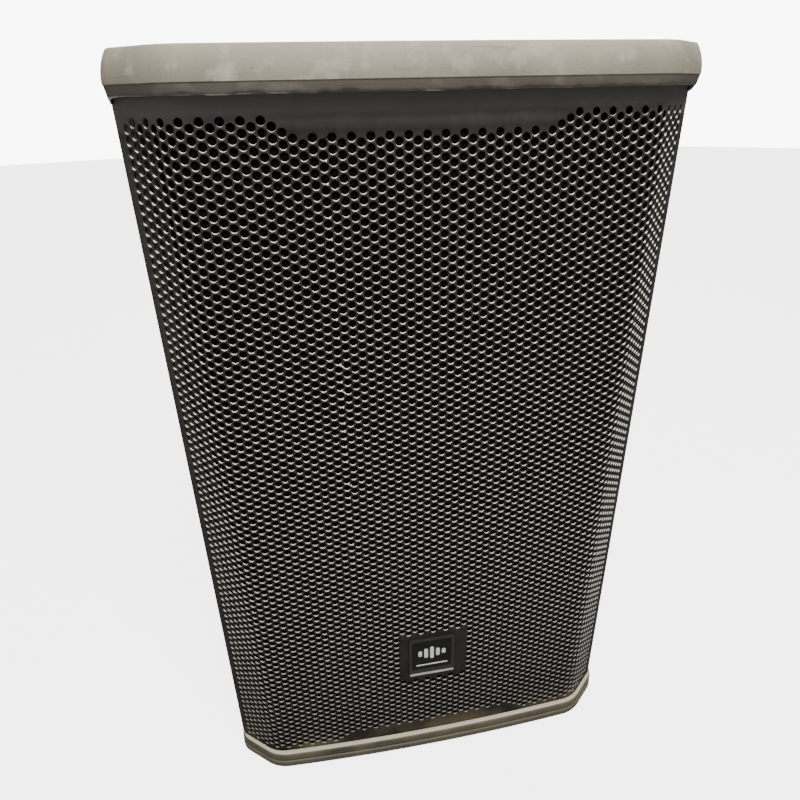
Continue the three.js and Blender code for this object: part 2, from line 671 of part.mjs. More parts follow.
// ---- handles --------------------------------------------------------------------------------
function topHandle() {
  const floor = HEIGHT - CUP_DEPTH;
  const inner = prism(stadium(-CUP_WALL), floor + CUP_WALL, HEIGHT + 1);
  place('top_handle_cup', cut(prism(stadium(0), floor, HEIGHT), inner), BLACK_PLASTIC);

  const section = roundedBox(GRIP_WIDTH, GRIP_THICK, GRIP_THICK / 2 - 1, 3);
  const bar = prism(section, -CUP_LENGTH / 2, CUP_LENGTH / 2).rotateX(Math.PI / 2);
  bar.rotateZ(Math.PI / 2).translate(0, CUP_Y, HEIGHT - GRIP_DROP - GRIP_THICK / 2);
  const room = prism(stadium(-CUP_WALL - GAP), floor, HEIGHT + 1);
  place('top_handle_grip', common(bar, room), CAST_METAL);
}

// cup let into a side panel, with a flange outside and a finger hook at its upper wall
function sideHandle() {
  const [length, height, radius] = [SIDE_CUP_LENGTH, SIDE_CUP_HEIGHT, SIDE_CUP_RADIUS];
  const face = -FLANGE_THICK - GAP;
  const floor = SIDE_CUP_DEPTH - 1;
  const rim = roundedBox(length + 2 * FLANGE, height + 2 * FLANGE, radius + FLANGE);
  const inside = roundedBox(length - 2 * CUP_WALL, height - 2 * CUP_WALL, radius - CUP_WALL);
  const flange = slab(rim, face, -GAP);
  const body = slab(roundedBox(length, height, radius), -GAP - 1, floor);
  const hollow = slab(inside, face - 1, floor - CUP_WALL);
  const [end, top] = [length / 2 - radius, height / 2];
  const hook = block(-end, end, face, HOOK_DEPTH, top - HOOK_DROP, top - CUP_WALL / 2);
  return join(cut(join(flange, body), hollow), hook).rotateZ(Math.PI / 2);
}

function handles() {
  topHandle();
  for (const [name, side] of [['side_handle_right', 1], ['side_handle_left', -1]]) {
    const handle = place(name, sideHandle(), BLACK_PLASTIC, ...sideCupPlace(side));
    handle.rotation.z = sideTurn(side);
  }
}

// ---- grille and badge -----------------------------------------------------------------------
// bent strip that follows the bow and both wings between two growths
function strip(outer, inner, endX) {
  const path = (out) => {
    const line = edge(FOLD, CORNER, out);
    const end = meet(line, { point: flat(endX, 0), along: flat(0, 1) });
    const right = [...bowAndFold(out, line, out, end), end];
    return [...mirrored(right.slice(1)), ...right];
  };
  return [...path(outer), ...path(inner).reverse()];
}

function grilleAndBadge() {
  const sheet = strip(0, -SHEET, HALF - GAP);
  place('grille', prism(sheet, GRILLE_FOOT, LIP_Z + GRILLE_TUCK), GRILLE_PAINT);
  const foam = strip(-SHEET - GAP, -SHEET - FOAM, HALF - FOAM_EDGE);
  place('grille_foam', prism(foam, ROOM_FLOOR + GAP, ROOM_ROOF - GAP), FOAM_BLACK);

  const back = FRONT_Y - GAP;
  const face = back - BADGE_THICK;
  const plate = slab(roundedBox(BADGE_WIDTH, BADGE_HEIGHT, 2), face, back);
  place('badge_plate', plate, BLACK_PLASTIC, 0, 0, BADGE_Z);
  const shape = roundedBox(BADGE_WIDTH - 1, BADGE_BAR, 0.8);
  const bar = slab(shape, face - GAP - BADGE_BAR_THICK, face - GAP);
  place('badge_bar', bar, PALE_TRIM, 0, 0, BADGE_Z - (BADGE_HEIGHT - BADGE_BAR - 1) / 2);
}

// ---- woofer ---------------------------------------------------------------------------------
const WOOFER_FRONT = FRAME_FACE - WOOFER_RIM_THICK - GAP; // front of the frame, under the gasket
const WOOFER_SEAT = FRAME_FACE + BASKET_DEPTH; // magnet side of the basket
const CONE_RIM = WOOFER_FRONT - 1;
const CONE_NECK = CONE_RIM + CONE_DEPTH;

function basket() {
  const [y, seat, wall] = [FRAME_FACE, WOOFER_SEAT, BASKET_WALL];
  const frame = turned([
    [WOOFER_R, y - WOOFER_RIM_THICK], [WOOFER_R, y], [WOOFER_CUTOUT, y], [WOOFER_CUTOUT - 4, y + 20],
    [MAGNET_R - wall, seat], [COIL_R + 12, seat], [COIL_R + 12, seat - 4],
    [MAGNET_R - wall - 4, seat - 4], [WOOFER_CUTOUT - wall - 4, y + 18],
    [WOOFER_CUTOUT - wall - 4, y - WOOFER_RIM_THICK],
  ], LARGE_TURN);
  const windows = [0, 1, 2].map((turn) => {
    const bar = block(-WOOFER_R, WOOFER_R, y + 26, seat - 12, -BASKET_BAR, BASKET_BAR);
    return bar.rotateY((turn * Math.PI) / 3);
  });
  return cut(frame, ...windows);
}

function gasket() {
  const [inner, front] = [WOOFER_R - GASKET_WIDTH, WOOFER_FRONT];
  const face = front - GASKET_THICK;
  return turned([[inner, front], [WOOFER_R, front], [WOOFER_R, face], [inner, face]], LARGE_TURN);
}

// half roll between the cone and the frame
function surround() {
  const steps = 5;
  const middle = (SURROUND_IN + SURROUND_OUT) / 2;
  const arc = (radius) => Array.from({ length: steps + 1 }, (_, i) => {
    const angle = (i / steps) * Math.PI;
    const rise = radius * 0.7 * Math.sin(angle);
    return [middle - radius * Math.cos(angle), WOOFER_FRONT - 0.2 - rise];
  });
  const half = SURROUND_WIDTH / 2;
  return turned([...arc(half), ...arc(half - SURROUND_THICK).reverse()], LARGE_TURN);
}

function cone() {
  const bend = CONE_RIM + CONE_BEND_DEPTH;
  return turned([
    [CONE_R, CONE_RIM], [CONE_R, CONE_RIM + CONE_THICK], [CONE_BEND_R, bend + CONE_THICK],
    [COIL_R + 1, CONE_NECK + CONE_THICK], [COIL_R + 1, CONE_NECK], [CONE_BEND_R - 1, bend],
  ], LARGE_TURN);
}

function dustCap() {
  const thick = 1.2;
  const base = CONE_RIM + DUST_CAP_DEPTH;
  const dome = (grow) => [0, 1, 2, 3, 4].map((i) => {
    const angle = (i / 4) * (Math.PI / 2);
    const radius = i === 4 ? 0 : (DUST_CAP_R + grow) * Math.cos(angle);
    return [radius, base - (DUST_CAP_RISE + grow) * Math.sin(angle)];
  });
  return turned([...dome(0), ...dome(-thick).reverse()], SMALL_TURN);
}

function coilFormer() {
  const [start, end] = [CONE_NECK - 6, WOOFER_SEAT + 3];
  return turned([[COIL_R - 1, start], [COIL_R, start], [COIL_R, end], [COIL_R - 1, end]], SMALL_TURN);
}

// radius inside the basket's sloping wall at a given y
function basketInside(y) {
  const [front, back] = [FRAME_FACE + 18, WOOFER_SEAT - 4];
  const [wide, narrow] = [WOOFER_CUTOUT - BASKET_WALL - 4, MAGNET_R - BASKET_WALL - 4];
  return wide + ((narrow - wide) * (y - front)) / (back - front);
}

// corrugated cloth ring round the coil
function spider() {
  const [inner, waves, thick] = [COIL_R + 1.4, 6, 0.8];
  const y = CONE_NECK + 18;
  const outer = basketInside(y) - SPIDER_ROOM;
  const line = (shift) => Array.from({ length: waves + 1 }, (_, i) => {
    const r = inner + ((outer - inner) * i) / waves;
    return [r, y + shift + (i % 2 ? SPIDER_WAVE : -SPIDER_WAVE)];
  });
  return turned([...line(0), ...line(thick).reverse()], SMALL_TURN);
}

// front plate, ring and back plate round the coil's gap
function magnet() {
  const front = WOOFER_SEAT + GAP;
  const tail = front + MAGNET_LENGTH;
  const [plate, plateThick, slit] = [MAGNET_R - MAGNET_STEP, 9, 1.6];
  const bottom = front + COIL_GAP_DEPTH;
  return turned([
    [0, front], [COIL_R - 2, front], [COIL_R - 2, bottom], [COIL_R + slit, bottom],
    [COIL_R + slit, front], [plate, front], [plate, front + plateThick],
    [MAGNET_R, front + plateThick], [MAGNET_R, tail - plateThick - 1],
    [plate, tail - plateThick - 1], [plate, tail], [0, tail],
  ], SMALL_TURN);
}

function woofer() {
  const at = (name, geometry, material) => place(name, geometry, material, 0, 0, WOOFER_Z);
  at('woofer_basket', basket(), CAST_METAL);
  at('woofer_gasket', gasket(), RUBBER);
  at('woofer_surround', surround(), RUBBER);
  at('woofer_cone', cone(), PAPER);
  at('woofer_dust_cap', dustCap(), PAPER);
  at('voice_coil_former', coilFormer(), COPPER);
  at('woofer_spider', spider(), LINEN);
  at('woofer_magnet', magnet(), FERRITE);
}

// ---- horn and compression driver ------------------------------------------------------------
// ring of the flare: a circle at the throat, a rounded rectangle at the mouth
function flareRing(t, wall) {
  const spread = (Math.exp(HORN_FLARE * t) - 1) / (Math.exp(HORN_FLARE) - 1);
  const mouth = HORN_RIM + 4;
  const halfX = THROAT_R + (HORN_WIDTH / 2 - mouth - THROAT_R) * spread + wall;
  const halfZ = THROAT_R + (HORN_HEIGHT / 2 - mouth - THROAT_R) * spread + wall;
  const power = 2 / (2 + 5 * t);
  const bulge = (value) => Math.sign(value) * Math.abs(value) ** power;
  return Array.from({ length: FLARE_POINTS }, (_, i) => {
    const angle = (i / FLARE_POINTS) * 2 * Math.PI;
    return flat(halfX * bulge(Math.cos(angle)), halfZ * bulge(Math.sin(angle)));
  });
}

// the flare's skin, grown by a wall; the tool that hollows it runs past both ends
function flare(wall, runsPast) {
  const rings = [0, 0.25, 0.5, 0.75, 1].map((t) => ({ outline: flareRing(t, wall), z: -t * HORN_DEPTH }));
  if (runsPast) {
    rings.unshift({ outline: flareRing(0, wall), z: 5 });
    rings.push({ outline: flareRing(1, wall), z: -HORN_DEPTH - 6 });
  }
  return loft(rings.reverse()).rotateX(-Math.PI / 2).translate(0, THROAT_Y, 0);
}

function horn() {
  const rim = roundedBox(HORN_WIDTH, HORN_HEIGHT, HORN_RIM);
  const flange = slab(rim, FRAME_FACE - HORN_RIM_THICK, FRAME_FACE);
  const collar = disc(THROAT_R + COLLAR, THROAT_Y - 4, THROAT_Y, 20);
  return cut(join(flare(HORN_WALL, false), flange, collar), flare(0, true));
}

function highFrequency() {
  const start = THROAT_Y + GAP;
  const end = start + DRIVER_LENGTH;
  const [throat, nose, lid] = [THROAT_R - 5, THROAT_R + COLLAR, DRIVER_R - 12];
  const body = turned([
    [0, start + 20], [throat, start + 20], [throat, start], [nose, start],
    [nose, start + DRIVER_NOSE], [DRIVER_R, start + DRIVER_NOSE], [DRIVER_R, end], [0, end],
  ], SMALL_TURN);
  const tail = end + DRIVER_COVER;
  const cover = turned([[0, end + GAP], [lid, end + GAP], [lid - 4, tail], [0, tail]], 20);
  place('horn', horn(), BLACK_PLASTIC, 0, 0, HORN_Z);
  place('compression_driver', body, FERRITE, 0, 0, HORN_Z);
  place('driver_rear_cover', cover, BLACK_PLASTIC, 0, 0, HORN_Z);
}

// ---- ports ----------------------------------------------------------------------------------
function portTube() {
  const [y, bore] = [FRAME_FACE, PORT_R - PORT_WALL];
  const [face, back] = [y - PORT_RIM_THICK, y + PORT_LENGTH];
  return turned([
    [bore, face], [PORT_R + PORT_RIM, face], [PORT_R + PORT_RIM, y], [PORT_R, y],
    [PORT_R, back], [bore, back],
  ], SMALL_TURN);
}

function ports() {
  place('port_tube_right', portTube(), BLACK_PLASTIC, PORT_X, 0, PORT_Z);
  place('port_tube_left', portTube(), BLACK_PLASTIC, -PORT_X, 0, PORT_Z);
}

// ---- amplifier ------------------------------------------------------------------------------
const jackPlaces = [...CHANNEL_X, LINK_X];
const buttonPlaces = [...CHANNEL_X, LINK_X];
const FACE = PLATE_FACE + GAP; // what is screwed on from outside sits here

function ampPanel() {
  const plate = slab(roundedBox(AMP_WIDTH, AMP_HEIGHT, 6), PLATE_BACK, PLATE_FACE);
  const [y0, y1] = [PLATE_BACK - 1, PLATE_FACE + 1];
  const round = (r, x, z, turn) => disc(r + GAP, y0, y1, turn).translate(x, 0, z);
  const square = (width, height, x, z) => {
    const [halfX, halfZ] = [width / 2 + GAP, height / 2 + GAP];
    return block(x - halfX, x + halfX, y0, y1, z - halfZ, z + halfZ);
  };
  return cut(
    plate.translate(0, 0, AMP_FOOT + AMP_HEIGHT / 2),
    ...jackPlaces.map((x) => round(JACK.radius, x, JACK_Z, 20)),
    ...CHANNEL_X.map((x) => square(LATCH.width, LATCH.height, x, LATCH_Z)),
    ...CHANNEL_X.map((x) => round(KNOB.shaft, x, KNOB_Z, 12)),
    ...buttonPlaces.map((x) => round(BUTTON.radius, x, BUTTON_Z, 12)),
    round(LAMP_R, LINK_X, KNOB_Z, 12),
    square(INLET.width - 2 * INLET.rim + 2, INLET.height - INLET.rim, INLET.x, POWER_Z),
    square(ROCKER.width + 2, ROCKER.height + 2, ROCKER.x, POWER_Z),
  );
}

const LATCH_Z = JACK_Z + JACK.radius - LATCH.overlap + LATCH.height / 2;

// comb of upright fins on a base
function heatsink() {
  const half = ((FIN_COUNT - 1) * FIN_PITCH + FIN) / 2;
  const points = [flat(-half, FACE), flat(half, FACE)];
  for (let i = FIN_COUNT - 1; i >= 0; i -= 1) {
    const left = -half + i * FIN_PITCH;
    points.push(flat(left + FIN, FACE + FIN_TALL), flat(left, FACE + FIN_TALL));
    if (i === 0) break;
    points.push(flat(left, FACE + FIN_BASE), flat(left - FIN_PITCH + FIN, FACE + FIN_BASE));
  }
  return prism(points, KNOB_Z + SINK_LIFT, AMP_TOP - SINK_DROP);
}

function tray() {
  const [half, w] = [AMP_WIDTH / 2 - AMP_BORDER - GAP, TRAY_WALL];
  const [low, high] = [AMP_FOOT + AMP_BORDER + GAP, TRAY_TOP];
  const back = REAR_Y - TRAY_DEPTH;
  const outer = block(-half, half, back, REAR_Y - 1, low, high);
  return cut(outer, block(-half + w, half - w, back + w, REAR_Y, low + w, high - w));
}

function electronics() {
  const y = REAR_Y - BOARD_DEPTH;
  const low = AMP_FOOT + AMP_BORDER + GAP + BOARD_LIFT;
  const [r, bore] = [TRANSFORMER_R, TRANSFORMER_BORE];
  const board = block(-BOARD_HALF, BOARD_HALF, y, y + BOARD_THICK, low, TRANSFORMER_Z - BOARD_ABOVE);
  const ring = turned([[bore, 0], [r, 0], [r, TRANSFORMER_TALL], [bore, TRANSFORMER_TALL]], 20);
  place('circuit_board', board, BOARD_GREEN);
  place('power_transformer', ring, COPPER, 0, y - COMPONENT_LIFT, TRANSFORMER_Z);
  [-CAPACITOR_X, CAPACITOR_X].forEach((x, i) => {
    const can = disc(CAPACITOR_R, 0, CAPACITOR_TALL, 14);
    place(`capacitor_${i + 1}`, can, BLACK_PLASTIC, x, y - COMPONENT_LIFT, TRANSFORMER_Z);
  });
}

// latch's room in a locking socket and its flange, behind and in front of the panel's face
function latchSlot() {
  const [half, low] = [LATCH.width / 2 + GAP, LATCH_Z - JACK_Z - LATCH.height / 2 - GAP];
  return block(-half, half, PLATE_FACE - LATCH.sink - GAP, FACE + 4, low, low + LATCH.height + 2 * GAP);
}

// locking socket: a round shell through the panel, with a front flange and a stepped bore
function jack(hasLatch) {
  const [r, margin, above] = [JACK.radius, JACK.margin, JACK.above];
  const shell = disc(r, PLATE_BACK - JACK.depth, FACE + 1, 20);
  const flange = slab(roundedBox(2 * (r + margin), 2 * (r + above), 3), FACE, FACE + JACK.flange);
  const bore = disc(r - JACK.wall, PLATE_BACK - JACK.bore, FACE + 4, 16);
  const body = cut(join(shell, flange), bore);
  return hasLatch ? cut(body, latchSlot()) : body;
}

function latch() {
  const [half, tall] = [LATCH.width / 2, LATCH.height / 2];
  const [back, front] = [PLATE_FACE - LATCH.sink, FACE + JACK.flange];
  return block(-half, half, back + LATCH.travel, front + LATCH.travel, -tall, tall);
}

// skirt and cap on a shaft, with a pointer ridge
function knob() {
  const y = PLATE_FACE + KNOB.standoff;
  const [skirt, tip] = [y + KNOB.skirt, y + KNOB.tall];
  const shaft = disc(KNOB.shaft - 0.5, PLATE_BACK - 6, y + 1, 10);
  const body = turned([
    [0, y], [KNOB.radius, y], [KNOB.radius - 0.3, skirt], [KNOB.cap + 0.4, skirt + 0.4],
    [KNOB.cap, tip - 0.4], [KNOB.cap - 0.6, tip], [0, tip],
  ], 16);
  const ridge = block(-KNOB.pointer, KNOB.pointer, y + 2, tip + 0.3, KNOB.cap - 1.7, KNOB.cap + 1.4);
  return join(shaft, body, ridge);
}

function button() {
  const [r, tail, tip] = [BUTTON.radius, PLATE_BACK - BUTTON.tail, PLATE_FACE + BUTTON.proud];
  const bevel = BUTTON.bevel;
  return turned([[0, tail], [r, tail], [r, tip - bevel], [r - bevel, tip], [0, tip]], 12);
}

function inlet() {
  const flange = slab(roundedBox(INLET.width, INLET.height, 3), FACE, FACE + INLET.flange);
  const [halfX, halfZ] = [INLET.width / 2 - INLET.rim, INLET.height / 2 - INLET.rim + 2];
  const body = block(-halfX, halfX, PLATE_BACK - INLET.depth, FACE + 1, -halfZ, halfZ);
  const [x, z] = [INLET.opening / 2, INLET.tall / 2];
  const room = block(-x, x, PLATE_BACK - INLET.depth + 4, FACE + 4, -z, z);
  return cut(join(flange, body), room);
}

const rockerRoom = (grow, y0, y1) => {
  const [halfX, halfZ] = [ROCKER.width / 2 + grow, ROCKER.height / 2 + grow];
  return block(-halfX, halfX, y0, y1, -halfZ, halfZ);
};

const rockerFrame = () =>
  cut(rockerRoom(ROCKER.frame, FACE, FACE + 2), rockerRoom(ROCKER.room, FACE - 1, FACE + 4));

// see-saw key, a shallow V seen from the side, about its pivot
function rocker() {
  const [halfX, halfZ] = [ROCKER.width / 2 - 0.4, ROCKER.height / 2 - 0.4];
  const [face, ends, back] = [ROCKER.face, ROCKER.face + ROCKER.raise, -4];
  const side = [
    flat(back, -halfZ), flat(ends, -halfZ), flat(face, 0), flat(ends, halfZ), flat(back, halfZ),
  ];
  return rail(side, -halfX, halfX);
}

function controls() {
  jackPlaces.forEach((x, i) => {
    const hasLatch = i < CHANNEL_X.length;
    const name = hasLatch ? `input_socket_${i + 1}` : 'link_output';
    place(name, jack(hasLatch), BLACK_PLASTIC, x, 0, JACK_Z);
  });
  CHANNEL_X.forEach((x, i) => {
    place(`level_knob_${i + 1}`, knob(), BLACK_PLASTIC, x, 0, KNOB_Z);
    place(`socket_latch_${i + 1}`, latch(), STEEL, x, 0, LATCH_Z);
  });
  const names = ['mic_line_button_1', 'mic_line_button_2', 'contour_button'];
  buttonPlaces.forEach((x, i) => place(names[i], button(), BLACK_PLASTIC, x, 0, BUTTON_Z));
  place('status_lamp', disc(LAMP_R, PLATE_BACK, PLATE_FACE + 1, 12), LAMP, LINK_X, 0, KNOB_Z);
  place('mains_inlet', inlet(), BLACK_PLASTIC, INLET.x, 0, POWER_Z);
  place('rocker_frame', rockerFrame(), BLACK_PLASTIC, ROCKER.x, 0, POWER_Z);
  const key = place('power_rocker', rocker(), BLACK_PLASTIC, ROCKER.x, PLATE_FACE, POWER_Z);
  key.rotation.x = THREE.MathUtils.degToRad(ROCKER.tilt);
}

function amplifier() {
  place('amp_panel', ampPanel(), BLACK_PAINT);
  place('amp_heatsink', heatsink(), CAST_METAL);
  place('amp_tray', tray(), STEEL);
  electronics();
  controls();
}

// ---- put it together ------------------------------------------------------------------------
woodenBox();
capAndPlinth();
handles();
grilleAndBadge();
woofer();
highFrequency();
ports();
amplifier();

export default cabinet;
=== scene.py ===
import json
import math
import random

import bmesh
import bpy
from mathutils import Matrix, Vector, noise
from mathutils.geometry import delaunay_2d_cdt


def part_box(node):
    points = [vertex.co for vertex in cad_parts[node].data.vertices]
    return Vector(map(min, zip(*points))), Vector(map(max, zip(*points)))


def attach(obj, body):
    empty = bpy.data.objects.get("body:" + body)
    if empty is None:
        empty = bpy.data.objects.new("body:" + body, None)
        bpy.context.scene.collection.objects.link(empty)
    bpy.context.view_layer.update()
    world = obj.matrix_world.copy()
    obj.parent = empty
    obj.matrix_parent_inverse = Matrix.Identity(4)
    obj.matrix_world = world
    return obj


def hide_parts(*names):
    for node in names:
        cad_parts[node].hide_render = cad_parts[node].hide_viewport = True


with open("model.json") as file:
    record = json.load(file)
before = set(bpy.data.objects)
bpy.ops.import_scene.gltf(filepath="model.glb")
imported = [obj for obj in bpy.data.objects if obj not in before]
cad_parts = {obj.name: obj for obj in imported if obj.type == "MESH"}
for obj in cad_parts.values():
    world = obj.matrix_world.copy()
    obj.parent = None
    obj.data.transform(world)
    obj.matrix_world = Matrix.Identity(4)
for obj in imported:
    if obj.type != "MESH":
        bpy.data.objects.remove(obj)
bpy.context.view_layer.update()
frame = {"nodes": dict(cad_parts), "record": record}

CABINET = "cabinet"
GAP = 0.0003

# ---- places taken from the frame ------------------------------------------------------------
sheet_low, sheet_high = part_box("grille")
cap_low, cap_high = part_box("top_cap")
plinth_low, plinth_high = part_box("bottom_plinth")
badge_low, badge_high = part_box("badge_plate")
cup_low, cup_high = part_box("top_handle_cup")
panel_low, panel_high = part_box("amp_panel")
FRONT_Y = sheet_low.y
REAR_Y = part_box("rear_panel")[1].y
CORNER_X = sheet_high.x + GAP
PANEL_FACE = panel_high.y
knob_low, knob_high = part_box("level_knob_1")
KNOB_Z = knob_low.z + (knob_high.z - knob_low.z) / 2

# ---- plan of the cabinet, in metres ---------------------------------------------------------
BOW_RADIUS = 2.65
WING_RUN = 0.038
WING_DEPTH = 0.038
TAPER = 0.0495
FOLD_RADIUS = 0.036
BOW_CENTRE = Vector((0, FRONT_Y + BOW_RADIUS))
FOLD_X = CORNER_X - WING_RUN
FOLD = Vector((FOLD_X, BOW_CENTRE.y - math.sqrt(BOW_RADIUS**2 - FOLD_X**2)))
CORNER = Vector((CORNER_X, FRONT_Y + WING_DEPTH))
REAR_CORNER = Vector((CORNER_X - TAPER, REAR_Y))

# ---- cap and plinth sizes, in metres ---------------------------------------------------------
LIP_OUT = 0.016
WING_LIP = 0.011
SIDE_LEDGE = 0.0024
CORNER_RADIUS = 0.020
BACK_RADIUS = 0.012
REAR_OVERHANG = 0.014
PLINTH_OUT = 0.0076
PLINTH_WING = 0.0065
CAP_CREASE = 0.008
CAP_SEAT = 0.012
CAP_FACE_RADIUS = 0.037
CAP_EDGE_RADIUS = 0.0025
END_DROP = 0.0045


def edge(start, end, out):
    """Line through two points, moved to the right of its direction, as (point, direction)."""
    along = (end - start).normalized()
    return start + Vector((along.y, -along.x)) * out, along


def meet(first, second):
    (p, d), (q, e) = first, second
    gap = q - p
    t = (gap.x * e.y - gap.y * e.x) / (d.x * e.y - d.y * e.x)
    return p + d * t


def meet_bow(line, out):
    point, along = line
    offset = point - BOW_CENTRE
    half = offset.dot(along)
    rest = offset.length_squared - (BOW_RADIUS + out) ** 2
    return point + along * (-half - math.sqrt(half * half - rest))


def rounded(before, corner, after, radius, steps):
    """Points of the arc that replaces a corner between two neighbours."""
    back = (before - corner).normalized()
    on = (after - corner).normalized()
    half = math.acos(max(-1, min(1, back.dot(on)))) / 2
    centre = corner + (back + on).normalized() * (radius / math.sin(half))
    start = corner + back * (radius / math.tan(half)) - centre
    turn = math.pi - 2 * half
    points = []
    for i in range(steps + 1):
        c, s = math.cos(turn * i / steps), math.sin(turn * i / steps)
        points.append(centre + Vector((start.x * c - start.y * s, start.x * s + start.y * c)))
    return points


def stretch(start, end, steps):
    return [start.lerp(end, i / steps) for i in range(1, steps)]


def plan(front, wing, side, rear, corner=0.0004, back=0.0004):
    """Closed outline of the cabinet, grown by its own amount on each kind of edge."""
    wing_edge = edge(FOLD, CORNER, wing)
    side_edge = edge(CORNER, REAR_CORNER, side)
    rear_edge = edge(REAR_CORNER, Vector((0, REAR_Y)), rear)
    wing_end, side_end = meet(wing_edge, side_edge), meet(side_edge, rear_edge)
    fold = meet_bow(wing_edge, front)
    tangent = Vector((-(fold.y - BOW_CENTRE.y), fold.x))
    bend = rounded(fold - tangent, fold, wing_end, FOLD_RADIUS + wing, 12)
    radius = BOW_RADIUS + front
    reach = math.asin(bend[0].x / radius)
    angles = [reach * i / 72 for i in range(72)]
    bow = [Vector((radius * math.sin(a), BOW_CENTRE.y - radius * math.cos(a))) for a in angles]
    outer = rounded(bend[-1], wing_end, side_end, corner, 8)
    rear_arc = rounded(wing_end, side_end, Vector((0, side_end.y)), back, 6)
    middle = Vector((0, side_end.y))
    right = bow + bend + stretch(bend[-1], outer[0], 14) + outer
    right += stretch(outer[-1], rear_arc[0], 48) + rear_arc + stretch(rear_arc[-1], middle, 24)
    mirrored = [Vector((-p.x, p.y)) for p in right[1:]][::-1]
    return right + [middle] + mirrored


# ---- perforation of the grille, in metres -----------------------------------------------------
PITCH = 0.00764
RIM_RADIUS = 0.00362
HOLE_RADIUS = 0.00312
RIM_DEPTH = 0.0005
HOLE_SIDES = 12
COLUMN = PITCH * math.sqrt(3) / 2
FIRST_COLUMN = 0.0025
TOP_ROW = 0.6669
BOTTOM_ROW = 0.0295
DIP_HALF = 0.0855
DIP_RUN = 0.0204
DIP_DEPTH = 1.55 * PITCH
BLANK_HALF = 0.0365
BLANK_LOW, BLANK_HIGH = 0.1065, 0.1775
EDGE_MARGIN = 0.0048
SHEET = 0.0015
SEAM = 0.075



# ---- mesh helpers ---------------------------------------------------------------------------
def finish_mesh(name, mesh, material, sharp=40, body=CABINET, replaces=()):
    """Turns a mesh into a riding piece with smooth faces between its sharp edges."""
    mesh.validate()
    mesh.shade_smooth()
    mesh.set_sharp_from_angle(angle=math.radians(sharp))
    piece = bpy.data.objects.new(name, mesh)
    bpy.context.scene.collection.objects.link(piece)
    mesh.materials.append(material)
    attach(piece, body)
    if replaces:
        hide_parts(*replaces)
    return piece


def triangulate(points, rings):
    """Delaunay triangles of plan points, without those inside any ring of hole points."""
    owner = [-1] * len(points)
    for number, ring in enumerate(rings):
        for index in ring:
            owner[index] = number
    result = delaunay_2d_cdt(points, [], [], 0, 1e-9, True)
    original = [ids[0] for ids in result[3]]
    faces = []
    for face in result[2]:
        corners = [original[index] for index in face]
        owners = {owner[index] for index in corners}
        if len(owners) == 1 and owners != {-1}:
            continue
        a, b, c = (points[index] for index in corners)
        if (b - a).cross(c - a) < 0:
            corners.reverse()
        faces.append(corners)
    return faces


class Shell:
    """Rings of points joined by walls and plates into one closed mesh."""

    def __init__(self):
        self.points = []
        self.faces = []

    def ring(self, outline, z):
        start = len(self.points)
        heights = z if isinstance(z, list) else [z] * len(outline)
        self.points += [Vector((p.x, p.y, h)) for p, h in zip(outline, heights)]
        return list(range(start, len(self.points)))

    def wall(self, lower, upper):
        count = len(lower)
        for i in range(count):
            j = (i + 1) % count
            self.faces.append((lower[i], lower[j], upper[j], upper[i]))

    def plate(self, outer, holes, up):
        indices = outer + [index for hole in holes for index in hole]
        flat = [self.points[index].xy for index in indices]
        rings, start = [], len(outer)
        for hole in holes:
            rings.append(range(start, start + len(hole)))
            start += len(hole)
        for face in triangulate(flat, rings):
            face = [indices[corner] for corner in face]
            self.faces.append(face if up else face[::-1])

    def lid(self, ring, up):
        self.faces.append(list(ring) if up else list(ring)[::-1])

    def pit(self, ring_outline, rim, floor_z, up):
        """Recess or hole floor below a plate's hole: a wall and a lid."""
        floor = self.ring(ring_outline, floor_z)
        if up:
            self.wall(rim[::-1], floor[::-1])
        else:
            self.wall(floor[::-1], rim[::-1])
        self.lid(floor, up)

    def mesh(self, name):
        mesh = bpy.data.meshes.new(name)
        mesh.from_pydata([tuple(p) for p in self.points], [], self.faces)
        return mesh


def circle(radius, steps, x=0.0, y=0.0):
    turns = [2 * math.pi * i / steps for i in range(steps)]
    return [Vector((x + radius * math.cos(a), y + radius * math.sin(a))) for a in turns]


def round_box(width, height, radius, steps=6, x=0.0, y=0.0):
    points = []
    for quarter, (sx, sy) in enumerate(((1, 1), (-1, 1), (-1, -1), (1, -1))):
        for step in range(steps + 1):
            a = (quarter + step / steps) * math.pi / 2
            px = sx * (width / 2 - radius) + radius * math.cos(a)
            points.append(Vector((x + px, y + sy * (height / 2 - radius) + radius * math.sin(a))))
    return points


def turned(name, profile, steps=48):
    """Mesh of (radius, height) pairs turned about the Z axis; the ends lie on the axis."""
    shell = Shell()
    rings = [shell.ring(circle(r, steps), z) for r, z in profile]
    for lower, upper in zip(rings, rings[1:]):
        shell.wall(lower, upper)
    shell.lid(rings[0], False)
    shell.lid(rings[-1], True)
    return shell.mesh(name)


def facing_back(mesh, x, y, z):
    """Turns a mesh made along +Z so that it points out of the back, and places it."""
    turn = Matrix(((-1, 0, 0), (0, 0, 1), (0, 1, 0))).to_4x4()
    mesh.transform(Matrix.Translation((x, y, z)) @ turn)
    return mesh


def facing_front(mesh, x, y, z):
    turn = Matrix(((1, 0, 0), (0, 0, -1), (0, 1, 0))).to_4x4()
    mesh.transform(Matrix.Translation((x, y, z)) @ turn)
    return mesh


def merge(name, meshes):
    work = bmesh.new()
    for mesh in meshes:
        work.from_mesh(mesh)
        bpy.data.meshes.remove(mesh)
    joined = bpy.data.meshes.new(name)
    work.to_mesh(joined)
    work.free()
    return joined


